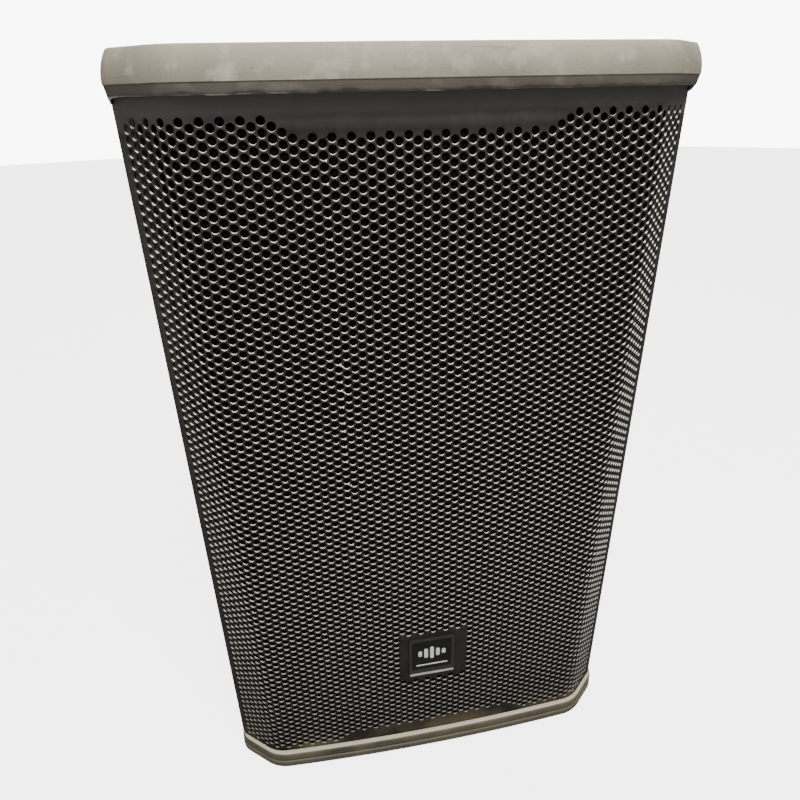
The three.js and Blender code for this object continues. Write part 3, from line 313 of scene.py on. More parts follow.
# ---- node groups shared by the finishes -----------------------------------------------------
class Group:
    """Short-hand for building a shader node group with named sockets."""

    def __init__(self, name, inputs, outputs):
        self.tree = bpy.data.node_groups.new(name, "ShaderNodeTree")
        for label, kind, value in inputs:
            socket = self.tree.interface.new_socket(label, in_out="INPUT", socket_type=kind)
            if value is not None:
                socket.default_value = value
        for label, kind in outputs:
            self.tree.interface.new_socket(label, in_out="OUTPUT", socket_type=kind)
        self.source = self.node("NodeGroupInput")
        self.sink = self.node("NodeGroupOutput")

    def node(self, kind, **settings):
        node = self.tree.nodes.new(kind)
        for key, value in settings.items():
            setattr(node, key, value)
        return node

    def link(self, out, into):
        self.tree.links.new(out, into)

    def math(self, operation, a, b=None, clamp=False):
        node = self.node("ShaderNodeMath", operation=operation, use_clamp=clamp)
        for socket, value in zip(node.inputs, (a, b)):
            if value is None:
                continue
            if isinstance(value, (int, float)):
                socket.default_value = value
            else:
                self.link(value, socket)
        return node.outputs[0]

    def noise(self, coordinate, scale, detail=4.0, roughness=0.6):
        node = self.node("ShaderNodeTexNoise")
        node.inputs["Detail"].default_value = detail
        node.inputs["Roughness"].default_value = roughness
        self.link(coordinate, node.inputs["Vector"])
        if isinstance(scale, (int, float)):
            node.inputs["Scale"].default_value = scale
        else:
            self.link(scale, node.inputs["Scale"])
        return node.outputs["Fac"]

    def place(self, stretch=None):
        """Position in metres, stretched along some axes for streaks."""
        coordinate = self.node("ShaderNodeTexCoord").outputs["Object"]
        if stretch is None:
            return coordinate
        mapping = self.node("ShaderNodeMapping")
        mapping.inputs["Scale"].default_value = stretch
        self.link(coordinate, mapping.inputs["Vector"])
        return mapping.outputs[0]

    def band(self, value, low, high):
        """0 at low, 1 at high, smooth between."""
        node = self.node("ShaderNodeMapRange", interpolation_type="SMOOTHSTEP")
        for label, limit in (("From Min", low), ("From Max", high)):
            if isinstance(limit, (int, float)):
                node.inputs[label].default_value = limit
            else:
                self.link(limit, node.inputs[label])
        self.link(value, node.inputs["Value"])
        return node.outputs[0]


def dust_film():
    """Settled dust: thick on faces that look up, patchy elsewhere."""
    g = Group(
        "dust_film",
        [("Scale", "NodeSocketFloat", 18.0), ("Settled", "NodeSocketFloat", 0.8),
         ("Clinging", "NodeSocketFloat", 0.3)],
        [("Mask", "NodeSocketFloat")],
    )
    normal = g.node("ShaderNodeNewGeometry").outputs["Normal"]
    split = g.node("ShaderNodeSeparateXYZ")
    g.link(normal, split.inputs[0])
    upward = g.band(split.outputs["Z"], 0.1, 0.95)
    cloud = g.noise(g.place(), g.source.outputs["Scale"], 6.0, 0.62)
    patch = g.band(cloud, 0.35, 0.66)
    settled = g.math("MULTIPLY", upward, g.source.outputs["Settled"])
    clinging = g.math("MULTIPLY", patch, g.source.outputs["Clinging"])
    total = g.math("ADD", settled, clinging)
    speck = g.noise(g.place(), 700.0, 2.0)
    grain = g.math("MULTIPLY", g.band(speck, 0.35, 0.7), 0.25)
    g.link(g.math("MULTIPLY", total, g.math("ADD", grain, 0.82), True), g.sink.inputs["Mask"])
    return g.tree


def grain_height():
    """Fine moulded or sprayed texture, as a height."""
    g = Group(
        "grain_height",
        [("Scale", "NodeSocketFloat", 900.0), ("Ripple", "NodeSocketFloat", 0.3)],
        [("Height", "NodeSocketFloat")],
    )
    fine = g.noise(g.place(), g.source.outputs["Scale"], 3.0)
    slow = g.noise(g.place(), 14.0, 2.0)
    ripple = g.math("MULTIPLY", slow, g.source.outputs["Ripple"])
    g.link(g.math("ADD", fine, ripple), g.sink.inputs["Height"])
    return g.tree


def rub_marks():
    """Long shallow scrapes and short nicks."""
    g = Group(
        "rub_marks",
        [("Amount", "NodeSocketFloat", 0.5)],
        [("Mask", "NodeSocketFloat")],
    )
    streak = g.noise(g.place((18.0, 18.0, 260.0)), 1.0, 5.0, 0.7)
    chip = g.noise(g.place((150.0, 150.0, 320.0)), 1.0, 2.0)
    long_marks = g.band(streak, 0.6, 0.7)
    chips = g.band(chip, 0.68, 0.74)
    both = g.math("MAXIMUM", long_marks, chips)
    g.link(g.math("MULTIPLY", both, g.source.outputs["Amount"]), g.sink.inputs["Mask"])
    return g.tree


def height_band():
    """1 above a height and 0 below it, with a ragged edge."""
    g = Group(
        "height_band",
        [("Height", "NodeSocketFloat", 0.1), ("Softness", "NodeSocketFloat", 0.05),
         ("Ragged", "NodeSocketFloat", 0.02)],
        [("Mask", "NodeSocketFloat")],
    )
    place = g.place()
    split = g.node("ShaderNodeSeparateXYZ")
    g.link(place, split.inputs[0])
    wobble = g.math("SUBTRACT", g.noise(place, 22.0), 0.5)
    height = g.math("ADD", split.outputs["Z"], g.math("MULTIPLY", wobble, g.source.outputs["Ragged"]))
    over = g.math("SUBTRACT", height, g.source.outputs["Height"])
    ratio = g.math("DIVIDE", over, g.source.outputs["Softness"])
    g.link(g.math("ADD", ratio, 0.5, True), g.sink.inputs["Mask"])
    return g.tree


def upward_edge():
    """1 on faces that look up, 0 on upright ones."""
    g = Group(
        "upward_edge",
        [("Low", "NodeSocketFloat", 0.3), ("High", "NodeSocketFloat", 0.8)],
        [("Mask", "NodeSocketFloat")],
    )
    split = g.node("ShaderNodeSeparateXYZ")
    g.link(g.node("ShaderNodeNewGeometry").outputs["Normal"], split.inputs[0])
    band = g.band(split.outputs["Z"], g.source.outputs["Low"], g.source.outputs["High"])
    g.link(band, g.sink.inputs["Mask"])
    return g.tree


GROUPS = {
    "dust": dust_film(),
    "grain": grain_height(),
    "rubs": rub_marks(),
    "band": height_band(),
    "upward": upward_edge(),
}


class Finish:
    """A material under construction: one Principled shader fed by groups and mixes."""

    def __init__(self, name, color, roughness, metallic=0.0, coat=0.0, sheen=0.0):
        self.material = bpy.data.materials.new(name)
        self.material.use_nodes = True
        self.nodes = self.material.node_tree.nodes
        self.links = self.material.node_tree.links
        self.shader = self.nodes["Principled BSDF"]
        self.shader.inputs["Base Color"].default_value = (*color, 1)
        self.shader.inputs["Roughness"].default_value = roughness
        self.shader.inputs["Metallic"].default_value = metallic
        self.shader.inputs["Coat Weight"].default_value = coat
        self.shader.inputs["Sheen Weight"].default_value = sheen
        self.color = color
        self.rough = roughness

    def group(self, key, **values):
        node = self.nodes.new("ShaderNodeGroup")
        node.node_tree = GROUPS[key]
        for label, value in values.items():
            node.inputs[label.replace("_", " ")].default_value = value
        return node.outputs[0]

    def times(self, a, b):
        node = self.nodes.new("ShaderNodeMath")
        node.operation = "MULTIPLY"
        self._feed(a, node.inputs[0])
        self._feed(b, node.inputs[1])
        return node.outputs[0]

    def inverse(self, a):
        node = self.nodes.new("ShaderNodeMath")
        node.operation = "SUBTRACT"
        node.inputs[0].default_value = 1.0
        self._feed(a, node.inputs[1])
        return node.outputs[0]

    def _feed(self, value, socket):
        if isinstance(value, (int, float)):
            socket.default_value = value
        elif isinstance(value, tuple):
            socket.default_value = (*value, 1)
        else:
            self.links.new(value, socket)

    def cover(self, mask, color, roughness=None):
        """Lays another colour, and roughness, over what is there where the mask says so."""
        mix = self.nodes.new("ShaderNodeMix")
        mix.data_type = "RGBA"
        self._feed(mask, mix.inputs[0])
        self._feed(self.color, mix.inputs[6])
        self._feed(color, mix.inputs[7])
        self.color = mix.outputs[2]
        if roughness is not None:
            blend = self.nodes.new("ShaderNodeMix")
            self._feed(mask, blend.inputs[0])
            self._feed(self.rough, blend.inputs[2])
            self._feed(roughness, blend.inputs[3])
            self.rough = blend.outputs[0]
        return self

    def cloud(self, scale, low, high, detail=5.0):
        node = self.nodes.new("ShaderNodeTexNoise")
        node.inputs["Scale"].default_value = scale
        node.inputs["Detail"].default_value = detail
        place = self.nodes.new("ShaderNodeTexCoord")
        self.links.new(place.outputs["Object"], node.inputs["Vector"])
        ramp = self.nodes.new("ShaderNodeMapRange")
        ramp.inputs["From Min"].default_value = low
        ramp.inputs["From Max"].default_value = high
        self.links.new(node.outputs["Fac"], ramp.inputs["Value"])
        return ramp.outputs[0]

    def bump(self, height, distance, strength=1.0):
        node = self.nodes.new("ShaderNodeBump")
        node.inputs["Distance"].default_value = distance
        node.inputs["Strength"].default_value = strength
        self.links.new(height, node.inputs["Height"])
        self.links.new(node.outputs[0], self.shader.inputs["Normal"])
        return self

    def done(self):
        if not isinstance(self.color, tuple):
            self.links.new(self.color, self.shader.inputs["Base Color"])
        if not isinstance(self.rough, (int, float)):
            self.links.new(self.rough, self.shader.inputs["Roughness"])
        return self.material


# ---- finishes -------------------------------------------------------------------------------
DUST = (0.30, 0.265, 0.20)


def cap_plastic():
    f = Finish("cap_plastic", (0.165, 0.15, 0.112), 0.6)
    f.cover(f.cloud(9.0, 0.35, 0.75), (0.215, 0.197, 0.15), 0.66)
    f.cover(f.group("dust", Scale=16.0, Settled=0.8, Clinging=0.22), (0.39, 0.355, 0.27), 0.9)
    f.cover(f.cloud(70.0, 0.55, 0.8), (0.36, 0.33, 0.26))
    f.cover(f.times(f.cloud(22.0, 0.58, 0.72), 0.6), (0.5, 0.47, 0.39), 0.7)
    # Painted shade: the lip face below the crease turns down, away from the overhead light, and is
    # painted darker, with lighter mottling in it.
    crease = cap_low.z + CAP_CREASE - 0.0003
    below = f.inverse(f.group("band", Height=crease, Softness=0.0005, Ragged=0.0006))
    f.cover(f.times(below, 0.95), (0.078, 0.067, 0.053), 0.6)
    f.cover(f.times(below, f.cloud(34.0, 0.54, 0.72)), (0.16, 0.145, 0.12))
    edge_low = f.inverse(f.group("band", Height=cap_low.z + 0.0003, Softness=0.0008, Ragged=0.006))
    f.cover(f.times(edge_low, f.cloud(60.0, 0.4, 0.6)), (0.5, 0.46, 0.39), 0.5)
    f.cover(f.group("rubs", Amount=0.35), (0.07, 0.06, 0.048), 0.5)
    return f.bump(f.group("grain", Scale=1100.0, Ripple=1.5), 0.00025).done()


def plinth_plastic():
    f = Finish("plinth_plastic", (0.028, 0.024, 0.016), 0.5)
    f.cover(f.cloud(14.0, 0.4, 0.7), (0.085, 0.07, 0.042), 0.7)
    f.cover(f.group("dust", Scale=26.0, Settled=0.5, Clinging=0.45), (0.17, 0.14, 0.085), 0.9)
    foot = f.inverse(f.group("band", Height=0.0125, Softness=0.0008, Ragged=0.0008))
    f.cover(f.times(foot, 0.5), (0.075, 0.064, 0.044), 0.65)
    # Painted highlight: the up-facing faces of the rounded upper rim are painted pale.
    upward = f.group("upward", Low=0.55, High=0.95)
    step = f.group("band", Height=0.0215, Softness=0.001, Ragged=0.0)
    rim = f.times(upward, step)
    f.cover(rim, (0.52, 0.47, 0.36), 0.8)
    f.cover(f.group("rubs", Amount=0.35), (0.16, 0.14, 0.1), 0.6)
    return f.bump(f.group("grain", Scale=1000.0, Ripple=1.0), 0.0002).done()


def grille_paint():
    f = Finish("grille_paint", (0.023, 0.0222, 0.0206), 0.5)
    f.shader.inputs["Specular IOR Level"].default_value = 0.22
    f.cover(f.cloud(7.0, 0.35, 0.75), (0.030, 0.028, 0.0255), 0.5)
    # Painted light: the blank strip above the top row, the same paint as the rest, is painted lighter
    # grey, as if lit under the cap.
    top = f.group("band", Height=TOP_ROW - 0.001, Softness=0.012, Ragged=0.006)
    f.cover(f.times(top, 0.9), (0.125, 0.12, 0.114), 0.6)
    # Painted shade: the paint turns near black towards the bottom, where less overhead light falls.
    painted_shade_low = f.inverse(f.group("band", Height=0.40, Softness=0.55, Ragged=0.1))
    f.cover(f.times(painted_shade_low, 0.93), (0.0045, 0.0042, 0.0036), 0.6)
    foot = f.inverse(f.group("band", Height=0.035, Softness=0.03, Ragged=0.03))
    f.cover(f.times(foot, f.cloud(18.0, 0.42, 0.62)), (0.085, 0.066, 0.036), 0.8)
    f.cover(f.group("dust", Scale=25.0, Settled=0.0, Clinging=0.03), DUST, 0.85)
    # Painted highlight: up-facing hole rims are painted near white and glossy as glints, weaker towards
    # the bottom as painted falloff of the light.
    painted_glint = f.times(
        f.group("upward", Low=0.42, High=0.82), f.group("band", Height=0.33, Softness=0.75, Ragged=0.0)
    )
    f.cover(painted_glint, (0.95, 0.92, 0.85), 0.28)
    # Painted highlight: a faint pale sheen on all up-facing faces.
    pale = f.times(f.group("upward", Low=0.5, High=0.85), 0.11)
    f.cover(pale, (0.8, 0.76, 0.66), 0.4)
    return f.bump(f.group("grain", Scale=1400.0, Ripple=0.2), 0.00004).done()


def textured_paint():
    f = Finish("textured_paint", (0.018, 0.0175, 0.017), 0.6)
    f.cover(f.cloud(6.0, 0.35, 0.8), (0.03, 0.028, 0.026), 0.7)
    f.cover(f.group("dust", Scale=14.0, Settled=0.8, Clinging=0.12), DUST, 0.9)
    f.cover(f.group("rubs", Amount=0.12), (0.09, 0.085, 0.075), 0.6)
    return f.bump(f.group("grain", Scale=420.0, Ripple=0.2), 0.0006).done()


def black_plastic():
    f = Finish("black_plastic", (0.014, 0.014, 0.0145), 0.48)
    f.cover(f.cloud(20.0, 0.4, 0.8), (0.022, 0.021, 0.02), 0.58)
    f.cover(f.group("dust", Scale=30.0, Settled=0.3, Clinging=0.08), DUST, 0.9)
    return f.bump(f.group("grain", Scale=1300.0, Ripple=0.1), 0.00012).done()


def gloss_black():
    f = Finish("gloss_black", (0.0012, 0.0012, 0.0014), 0.5)
    f.shader.inputs["Specular IOR Level"].default_value = 0.2
    f.cover(f.group("dust", Scale=40.0, Settled=0.1, Clinging=0.04), (0.03, 0.027, 0.02), 0.7)
    return f.bump(f.group("grain", Scale=500.0, Ripple=0.1), 0.00002).done()


def rubber():
    f = Finish("rubber", (0.012, 0.012, 0.012), 0.85, sheen=0.1)
    f.cover(f.cloud(60.0, 0.4, 0.8), (0.028, 0.026, 0.023), 0.9)
    return f.bump(f.group("grain", Scale=1600.0, Ripple=0.1), 0.0001).done()


def open_foam():
    f = Finish("open_foam", (0.0012, 0.0012, 0.0011), 0.95)
    f.shader.inputs["Specular IOR Level"].default_value = 0.05
    f.cover(f.cloud(420.0, 0.42, 0.62), (0.0045, 0.0042, 0.0038), 1.0)
    return f.bump(f.group("grain", Scale=900.0, Ripple=0.1), 0.0008).done()


def birch_ply():
    f = Finish("birch_ply", (0.42, 0.28, 0.14), 0.62)
    f.cover(f.cloud(30.0, 0.35, 0.7), (0.33, 0.2, 0.09))
    return f.bump(f.group("grain", Scale=260.0, Ripple=0.3), 0.0002).done()


def powder_metal():
    f = Finish("powder_metal", (0.025, 0.025, 0.027), 0.45, metallic=0.3)
    f.cover(f.group("dust", Scale=35.0, Settled=0.55, Clinging=0.1), DUST, 0.85)
    f.cover(f.group("rubs", Amount=0.1), (0.2, 0.2, 0.2), 0.4)
    return f.bump(f.group("grain", Scale=900.0, Ripple=0.1), 0.00012).done()


def zinc():
    f = Finish("zinc_plate", (0.46, 0.46, 0.47), 0.34, metallic=1.0)
    f.cover(f.cloud(90.0, 0.4, 0.75), (0.3, 0.29, 0.27), 0.5)
    return f.bump(f.group("grain", Scale=800.0, Ripple=0.1), 0.00003).done()


def pale_metal():
    f = Finish("pale_metal", (0.62, 0.60, 0.55), 0.3, metallic=0.85)
    f.cover(f.cloud(120.0, 0.4, 0.75), (0.42, 0.4, 0.36), 0.45)
    return f.bump(f.group("grain", Scale=900.0, Ripple=0.1), 0.00002).done()


def pale_ink():
    f = Finish("pale_ink", (0.62, 0.61, 0.58), 0.5)
    f.cover(f.cloud(200.0, 0.45, 0.8), (0.45, 0.44, 0.41), 0.6)
    return f.bump(f.group("grain", Scale=900.0, Ripple=0.1), 0.00002).done()


def plain(name, color, roughness, metallic, second, scale, distance=0.0001):
    f = Finish(name, color, roughness, metallic=metallic)
    f.cover(f.cloud(scale, 0.35, 0.75), second)
    return f.bump(f.group("grain", Scale=700.0, Ripple=0.2), distance).done()


M = {
    "cap": cap_plastic(),
    "plinth": plinth_plastic(),
    "grille": grille_paint(),
    "paint": textured_paint(),
    "plastic": black_plastic(),
    "gloss": gloss_black(),
    "rubber": rubber(),
    "foam": open_foam(),
    "ply": birch_ply(),
    "metal": powder_metal(),
    "zinc": zinc(),
    "trim": pale_metal(),
    "ink": pale_ink(),
    "magnet": plain("ferrite", (0.04, 0.04, 0.045), 0.6, 0.3, (0.07, 0.07, 0.075), 40.0),
    "cone": plain("coated_paper", (0.02, 0.02, 0.022), 0.8, 0.0, (0.035, 0.035, 0.037), 90.0, 0.0003),
    "linen": plain("resin_linen", (0.34, 0.21, 0.08), 0.9, 0.0, (0.24, 0.14, 0.05), 120.0, 0.0003),
    "copper": plain("copper_wire", (0.55, 0.25, 0.1), 0.4, 0.9, (0.4, 0.17, 0.06), 60.0),
    "board": plain("solder_mask", (0.02, 0.11, 0.05), 0.4, 0.0, (0.03, 0.15, 0.07), 80.0),
    "badge": plain("badge_plastic", (0.006, 0.006, 0.006), 0.6, 0.0, (0.012, 0.0115, 0.01), 60.0),
    "lamp": plain("lamp_lens", (0.25, 0.75, 0.35), 0.15, 0.0, (0.2, 0.6, 0.3), 300.0),
}

SLOT_MATERIAL = {
    "black_paint": "paint", "raw_plywood": "ply", "cap_plastic": "cap", "plinth_plastic": "plinth",
    "rubber": "rubber", "black_plastic": "plastic", "grip_metal": "metal", "grille_paint": "grille",
    "foam": "foam", "pale_trim": "trim", "steel": "zinc", "magnet": "magnet", "paper_cone": "cone",
    "linen": "linen", "copper": "copper", "circuit_board": "board", "lamp": "lamp",
}


def dress_frame():
    """Gives every CAD node its finish, and soft edges to those that stay in view."""
    for part in frame["record"]["subparts"]:
        node = frame["nodes"][part["node"]]
        node.data.materials.clear()
        node.data.materials.append(M[SLOT_MATERIAL[part["material_slot"]]])
    frame["nodes"]["plinth_screw"].data.materials[0] = M["badge"]
    frame["nodes"]["badge_plate"].data.materials[0] = M["badge"]
    bevels = {
        "side_panel_left": 0.0015, "side_panel_right": 0.0015, "rear_panel": 0.001,
        "side_handle_left": 0.0018, "side_handle_right": 0.0018, "amp_panel": 0.0006,
        "amp_heatsink": 0.0006, "badge_plate": 0.0005, "badge_bar": 0.0002,
        "mains_inlet": 0.0005, "rocker_frame": 0.0005, "power_rocker": 0.0007, "pole_socket": 0.0008,
        "mic_line_button_1": 0.0003, "mic_line_button_2": 0.0003, "contour_button": 0.0003,
        "socket_latch_1": 0.0003, "socket_latch_2": 0.0003, "fly_point_1": 0.0005,
        "fly_point_2": 0.0005, "fly_point_3": 0.0005,
    }
    for name, width in bevels.items():
        node = frame["nodes"][name]
        node.modifiers.new("weld", "WELD").merge_threshold = 0.00001
        bevel = node.modifiers.new("bevel", "BEVEL")
        bevel.width = width
        bevel.segments = 3
        bevel.limit_method = "ANGLE"
        bevel.angle_limit = math.radians(40)
        bevel.harden_normals = False
        node.data.shade_smooth()
        node.modifiers.new("normals", "WEIGHTED_NORMAL").keep_sharp = True


# ---- grille ---------------------------------------------------------------------------------


def bent_sheet():
    """Function from a distance along the sheet's outer face, and a depth, to a plan point."""
    fold_angle = math.asin(FOLD_X / BOW_RADIUS)
    wing_angle = math.atan2(CORNER.y - FOLD.y, CORNER.x - FOLD.x)
    turn = wing_angle - fold_angle
    bend_start = BOW_RADIUS * fold_angle - FOLD_RADIUS * math.tan(turn / 2)
    bend_end = bend_start + FOLD_RADIUS * turn
    a0 = bend_start / BOW_RADIUS
    a1 = a0 + turn
    first = BOW_CENTRE + Vector((math.sin(a0), -math.cos(a0))) * BOW_RADIUS
    hub = first - Vector((math.sin(a0), -math.cos(a0))) * FOLD_RADIUS
    last = hub + Vector((math.sin(a1), -math.cos(a1))) * FOLD_RADIUS
    length = bend_end + (CORNER - last).length

    def place(distance, depth):
        side = -1 if distance < 0 else 1
        s = abs(distance)
        if s <= bend_start:
            angle = s / BOW_RADIUS
            normal = Vector((math.sin(angle), -math.cos(angle)))
            point = BOW_CENTRE + normal * BOW_RADIUS
        elif s <= bend_end:
            angle = a0 + (s - bend_start) / FOLD_RADIUS
            normal = Vector((math.sin(angle), -math.cos(angle)))
            point = hub + normal * FOLD_RADIUS
        else:
            normal = Vector((math.sin(a1), -math.cos(a1)))
            point = last + Vector((math.cos(a1), math.sin(a1))) * (s - bend_end)
        point = point - normal * depth
        return Vector((side * point.x, point.y))

    return place, length


def dip(s):
    """How far the blank bands reach into the pattern at a distance from the middle."""
    return DIP_DEPTH * max(0.0, min(1.0, (DIP_HALF + DIP_RUN - abs(s)) / DIP_RUN))


def hole_centres(half):
    centres = []
    columns = range(-math.ceil(half / COLUMN), math.ceil(half / COLUMN) + 1)
    rows = round((TOP_ROW - BOTTOM_ROW) / PITCH) + 1
    for column in columns:
        s = FIRST_COLUMN + column * COLUMN
        if abs(s) > half - EDGE_MARGIN - RIM_RADIUS + 0.0005:
            continue
        for row in range(rows + 1):
            z = TOP_ROW - (row + (0.5 if column % 2 else 0.0)) * PITCH
            if z > TOP_ROW + 0.001 - dip(s) or z < BOTTOM_ROW - 0.001 + dip(s):
                continue
            if abs(s) < BLANK_HALF and BLANK_LOW < z < BLANK_HIGH:
                continue
            centres.append((s, z))
    return centres


def sheet_border(half):
    """Points round the sheet's edge, counter-clockwise from its lower left corner."""
    low, high = sheet_low.z, sheet_high.z
    across = [half * (2 * i / 64 - 1) for i in range(65)]
    up = [low + (high - low) * i / 84 for i in range(85)]
    border = [(s, low) for s in across[:-1]] + [(half, z) for z in up[:-1]]
    border += [(s, high) for s in across[:0:-1]] + [(-half, z) for z in up[:0:-1]]
    return [Vector(p) for p in border]


class Perforation:
    """Flat pattern of a drilled sheet: outline points, then rings of points round the holes."""

    def __init__(self, half):
        self.flat = sheet_border(half)
        self.flat += [Vector((half * (i / 32 - 1), TOP_ROW + 0.0095)) for i in range(1, 64)]
        self.owner = [None] * len(self.flat)
        self.centre = [None] * len(self.flat)
        rings = []
        for s, z in hole_centres(half):
            start = len(self.flat)
            for i in range(HOLE_SIDES):
                angle = 2 * math.pi * (i + 0.5) / HOLE_SIDES
                turn = Vector((math.cos(angle), math.sin(angle)))
                self.flat.append(Vector((s, z)) + turn * RIM_RADIUS)
                self.owner.append(len(rings))
                self.centre.append(Vector((s, z)))
            rings.append(range(start, start + HOLE_SIDES))
        self.front = triangulate(self.flat, rings)

    def column(self, index, place, points):
        """Points through the sheet at an outline or ring point, from front to back."""
        p, centre = self.flat[index], self.centre[index]
        steps = [(p, 0.0), (p, SHEET)]
        if centre is not None:
            inner = centre + (p - centre) * (HOLE_RADIUS / RIM_RADIUS)
            steps = [(p, 0.0), (inner, RIM_DEPTH), (inner, SHEET)]
        start = len(points)
        for spot, depth in steps:
            plan_point = place(spot.x, depth)
            points.append((plan_point.x, plan_point.y, spot.y))
        return list(range(start, len(points)))

    def panel(self, name, place, belongs):
        """Closed mesh of the triangles whose middle belongs to one stretch of the sheet."""
        faces, points, columns = [], [], {}
        front = [f for f in self.front if belongs(sum(self.flat[i].x for i in f) / 3)]
        for face in front:
            for index in face:
                if index not in columns:
                    columns[index] = self.column(index, place, points)
            faces.append([columns[i][0] for i in face])
            faces.append([columns[i][-1] for i in reversed(face)])
        edges = {(a, b) for face in front for a, b in zip(face, face[1:] + face[:1])}
        for a, b in edges:
            if (b, a) in edges:
                continue
            left, right = columns[a], columns[b]
            if self.owner[a] is not None and self.owner[a] == self.owner[b]:
                for i in range(len(left) - 1):
                    faces.append((left[i + 1], right[i + 1], right[i], left[i]))
            else:
                faces.append(left[::-1] + right)
        mesh = bpy.data.meshes.new(name)
        mesh.from_pydata(points, [], faces)
        finish_mesh(name, mesh, M["grille"], 62, replaces=["grille"])


def perforated_grille():
    place, half = bent_sheet()
    pattern = Perforation(half)
    pattern.panel("perforated_grille_left", place, lambda s: s < -SEAM)
    pattern.panel("perforated_grille_middle", place, lambda s: -SEAM <= s <= SEAM)
    pattern.panel("perforated_grille_right", place, lambda s: s > SEAM)


# ---- cap and plinth -------------------------------------------------------------------------
POCKET = {"front": 0.0012, "wing": 0.0012, "side": 0.0005, "rear": 0.0005}


def grown(front, wing, inset):
    return plan(
        front - inset, wing - inset, SIDE_LEDGE - inset, REAR_OVERHANG - inset,
        max(CORNER_RADIUS - inset, 0.002), max(BACK_RADIUS - inset, 0.002),
    )


def cap_profile():
    """(inset, height above the lip's lower edge, share of the nicks) up the outside."""
    big, small = CAP_FACE_RADIUS, CAP_EDGE_RADIUS
    rise = cap_high.z - cap_low.z - CAP_CREASE - small
    meeting = math.asin(rise / (big - small))
    middle = big - (big - small) * math.cos(meeting)
    rows = [(0.0034, 0.0, 1.0), (0.0026, 0.0003, 1.0), (0.0020, 0.0011, 0.8), (0.0016, 0.0026, 0.35)]
    rows += [(0.0010, 0.0055, 0.0), (0.0006, CAP_CREASE - 0.0005, 0.0), (0.0001, CAP_CREASE, 0.0)]
    for step in range(1, 10):
        angle = step / 9 * meeting
        rows.append((big * (1 - math.cos(angle)), CAP_CREASE + big * math.sin(angle), 0.0))
    for step in range(1, 7):
        angle = meeting + step / 6 * (math.pi / 2 - meeting)
        height = CAP_CREASE + rise + small * math.sin(angle)
        rows.append((middle - small * math.cos(angle), height, 0.0))
    return rows


def end_drop(p, lift):
    """How much lower the lip hangs round the cabinet's sides than along its front."""
    across = max(0.0, min(1.0, (p.y - CORNER.y + 0.012) / 0.012))
    fade = max(0.0, 1 - lift / CAP_CREASE)
    return END_DROP * across * across * (3 - 2 * across) * fade


def nick_depths(outline, seed):
    """Small dents at chosen random places round an outline's front and wings."""
    draw = random.Random(seed)
    dents = []
    for _ in range(70):
        x = draw.uniform(-CORNER_X, CORNER_X)
        dents.append((x, draw.uniform(0.0012, 0.006), draw.uniform(0.0003, 0.0015)))
    depths = []
    for p in outline:
        depth = 0.00025 * (1 + noise.noise(Vector((p.x * 90, p.y * 90, 3.0))))
        if p.y < CORNER.y + 0.02:
            depth += max(d * math.exp(-(((p.x - x) / w) ** 2)) for x, w, d in dents)
        depths.append(depth)
    return depths


def stadium(grow):
    centre = (cup_low + cup_high) / 2
    size = cup_high - cup_low
    radius = size.y / 2 + grow
    return round_box(size.x + 2 * grow, size.y + 2 * grow, radius - 1e-5, 10, centre.x, centre.y)


def cap_shell():
    shell = Shell()
    low, high = cap_low.z, cap_high.z
    nicks = nick_depths(grown(LIP_OUT, WING_LIP, 0.0), 7)
    rings = []
    for inset, lift, share in cap_profile():
        outline = grown(LIP_OUT, WING_LIP, inset)
        heights = [low + lift + share * nick - end_drop(p, lift) for p, nick in zip(outline, nicks)]
        rings.append(shell.ring(outline, heights))
    for lower, upper in zip(rings, rings[1:]):
        shell.wall(lower, upper)
    inner = [(0.0058, 0.0006), (0.0066, 0.0022)]
    below = rings[0]
    for inset, lift in inner:
        outline = lip_inside(inset)
        ring = shell.ring(outline, [low + lift - end_drop(p, lift) for p in outline])
        shell.wall(ring, below)
        below = ring
    seat = shell.ring(plan(**POCKET), low + CAP_SEAT)
    pocket = shell.ring(plan(**POCKET), low + 0.004)
    shell.wall(pocket, below)
    shell.wall(seat, pocket)
    hole_top = shell.ring(stadium(GAP), high)
    hole_seat = shell.ring(stadium(GAP), low + CAP_SEAT)
    shell.wall(hole_top, hole_seat)
    recesses = []
    for index in (1, 2, 3):
        a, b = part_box(f"fly_point_{index}")
        centre = (a + b) / 2
        outline = circle(b.x - centre.x + 0.001, 32, centre.x, centre.y)
        rim = shell.ring(outline, high)
        shell.pit(outline, rim, a.z - GAP, True)
        recesses.append(rim)
    shell.plate(rings[-1], [hole_top] + recesses, True)
    shell.plate(seat, [hole_seat], False)
    mesh = shell.mesh("cap_shell")
    finish_mesh("cap_shell", mesh, M["cap"], 32, replaces=["top_cap"])


def lip_inside(inset):
    """Outline inside the lip's lower edge; the thin side walls take less of the inset."""
    share = min(inset, SIDE_LEDGE - 0.001)
    return plan(
        LIP_OUT - inset, WING_LIP - inset, SIDE_LEDGE - share, REAR_OVERHANG - inset,
        max(CORNER_RADIUS - inset, 0.002), max(BACK_RADIUS - inset, 0.002),
    )


def plinth_profile():
    """(inset, height) up the outside: lower band, groove, rounded upper rim."""
    return [
        (0.0015, 0.0030), (0.0006, 0.0036), (0.0, 0.0050), (0.0, 0.0112), (0.0004, 0.0117),
        (0.0015, 0.0122), (0.0015, 0.0137), (0.0009, 0.0142), (0.0005, 0.0150), (0.0004, 0.0195),
        (0.0007, 0.0215), (0.0015, 0.0230), (0.0026, 0.0238), (0.0037, 0.0240),
    ]


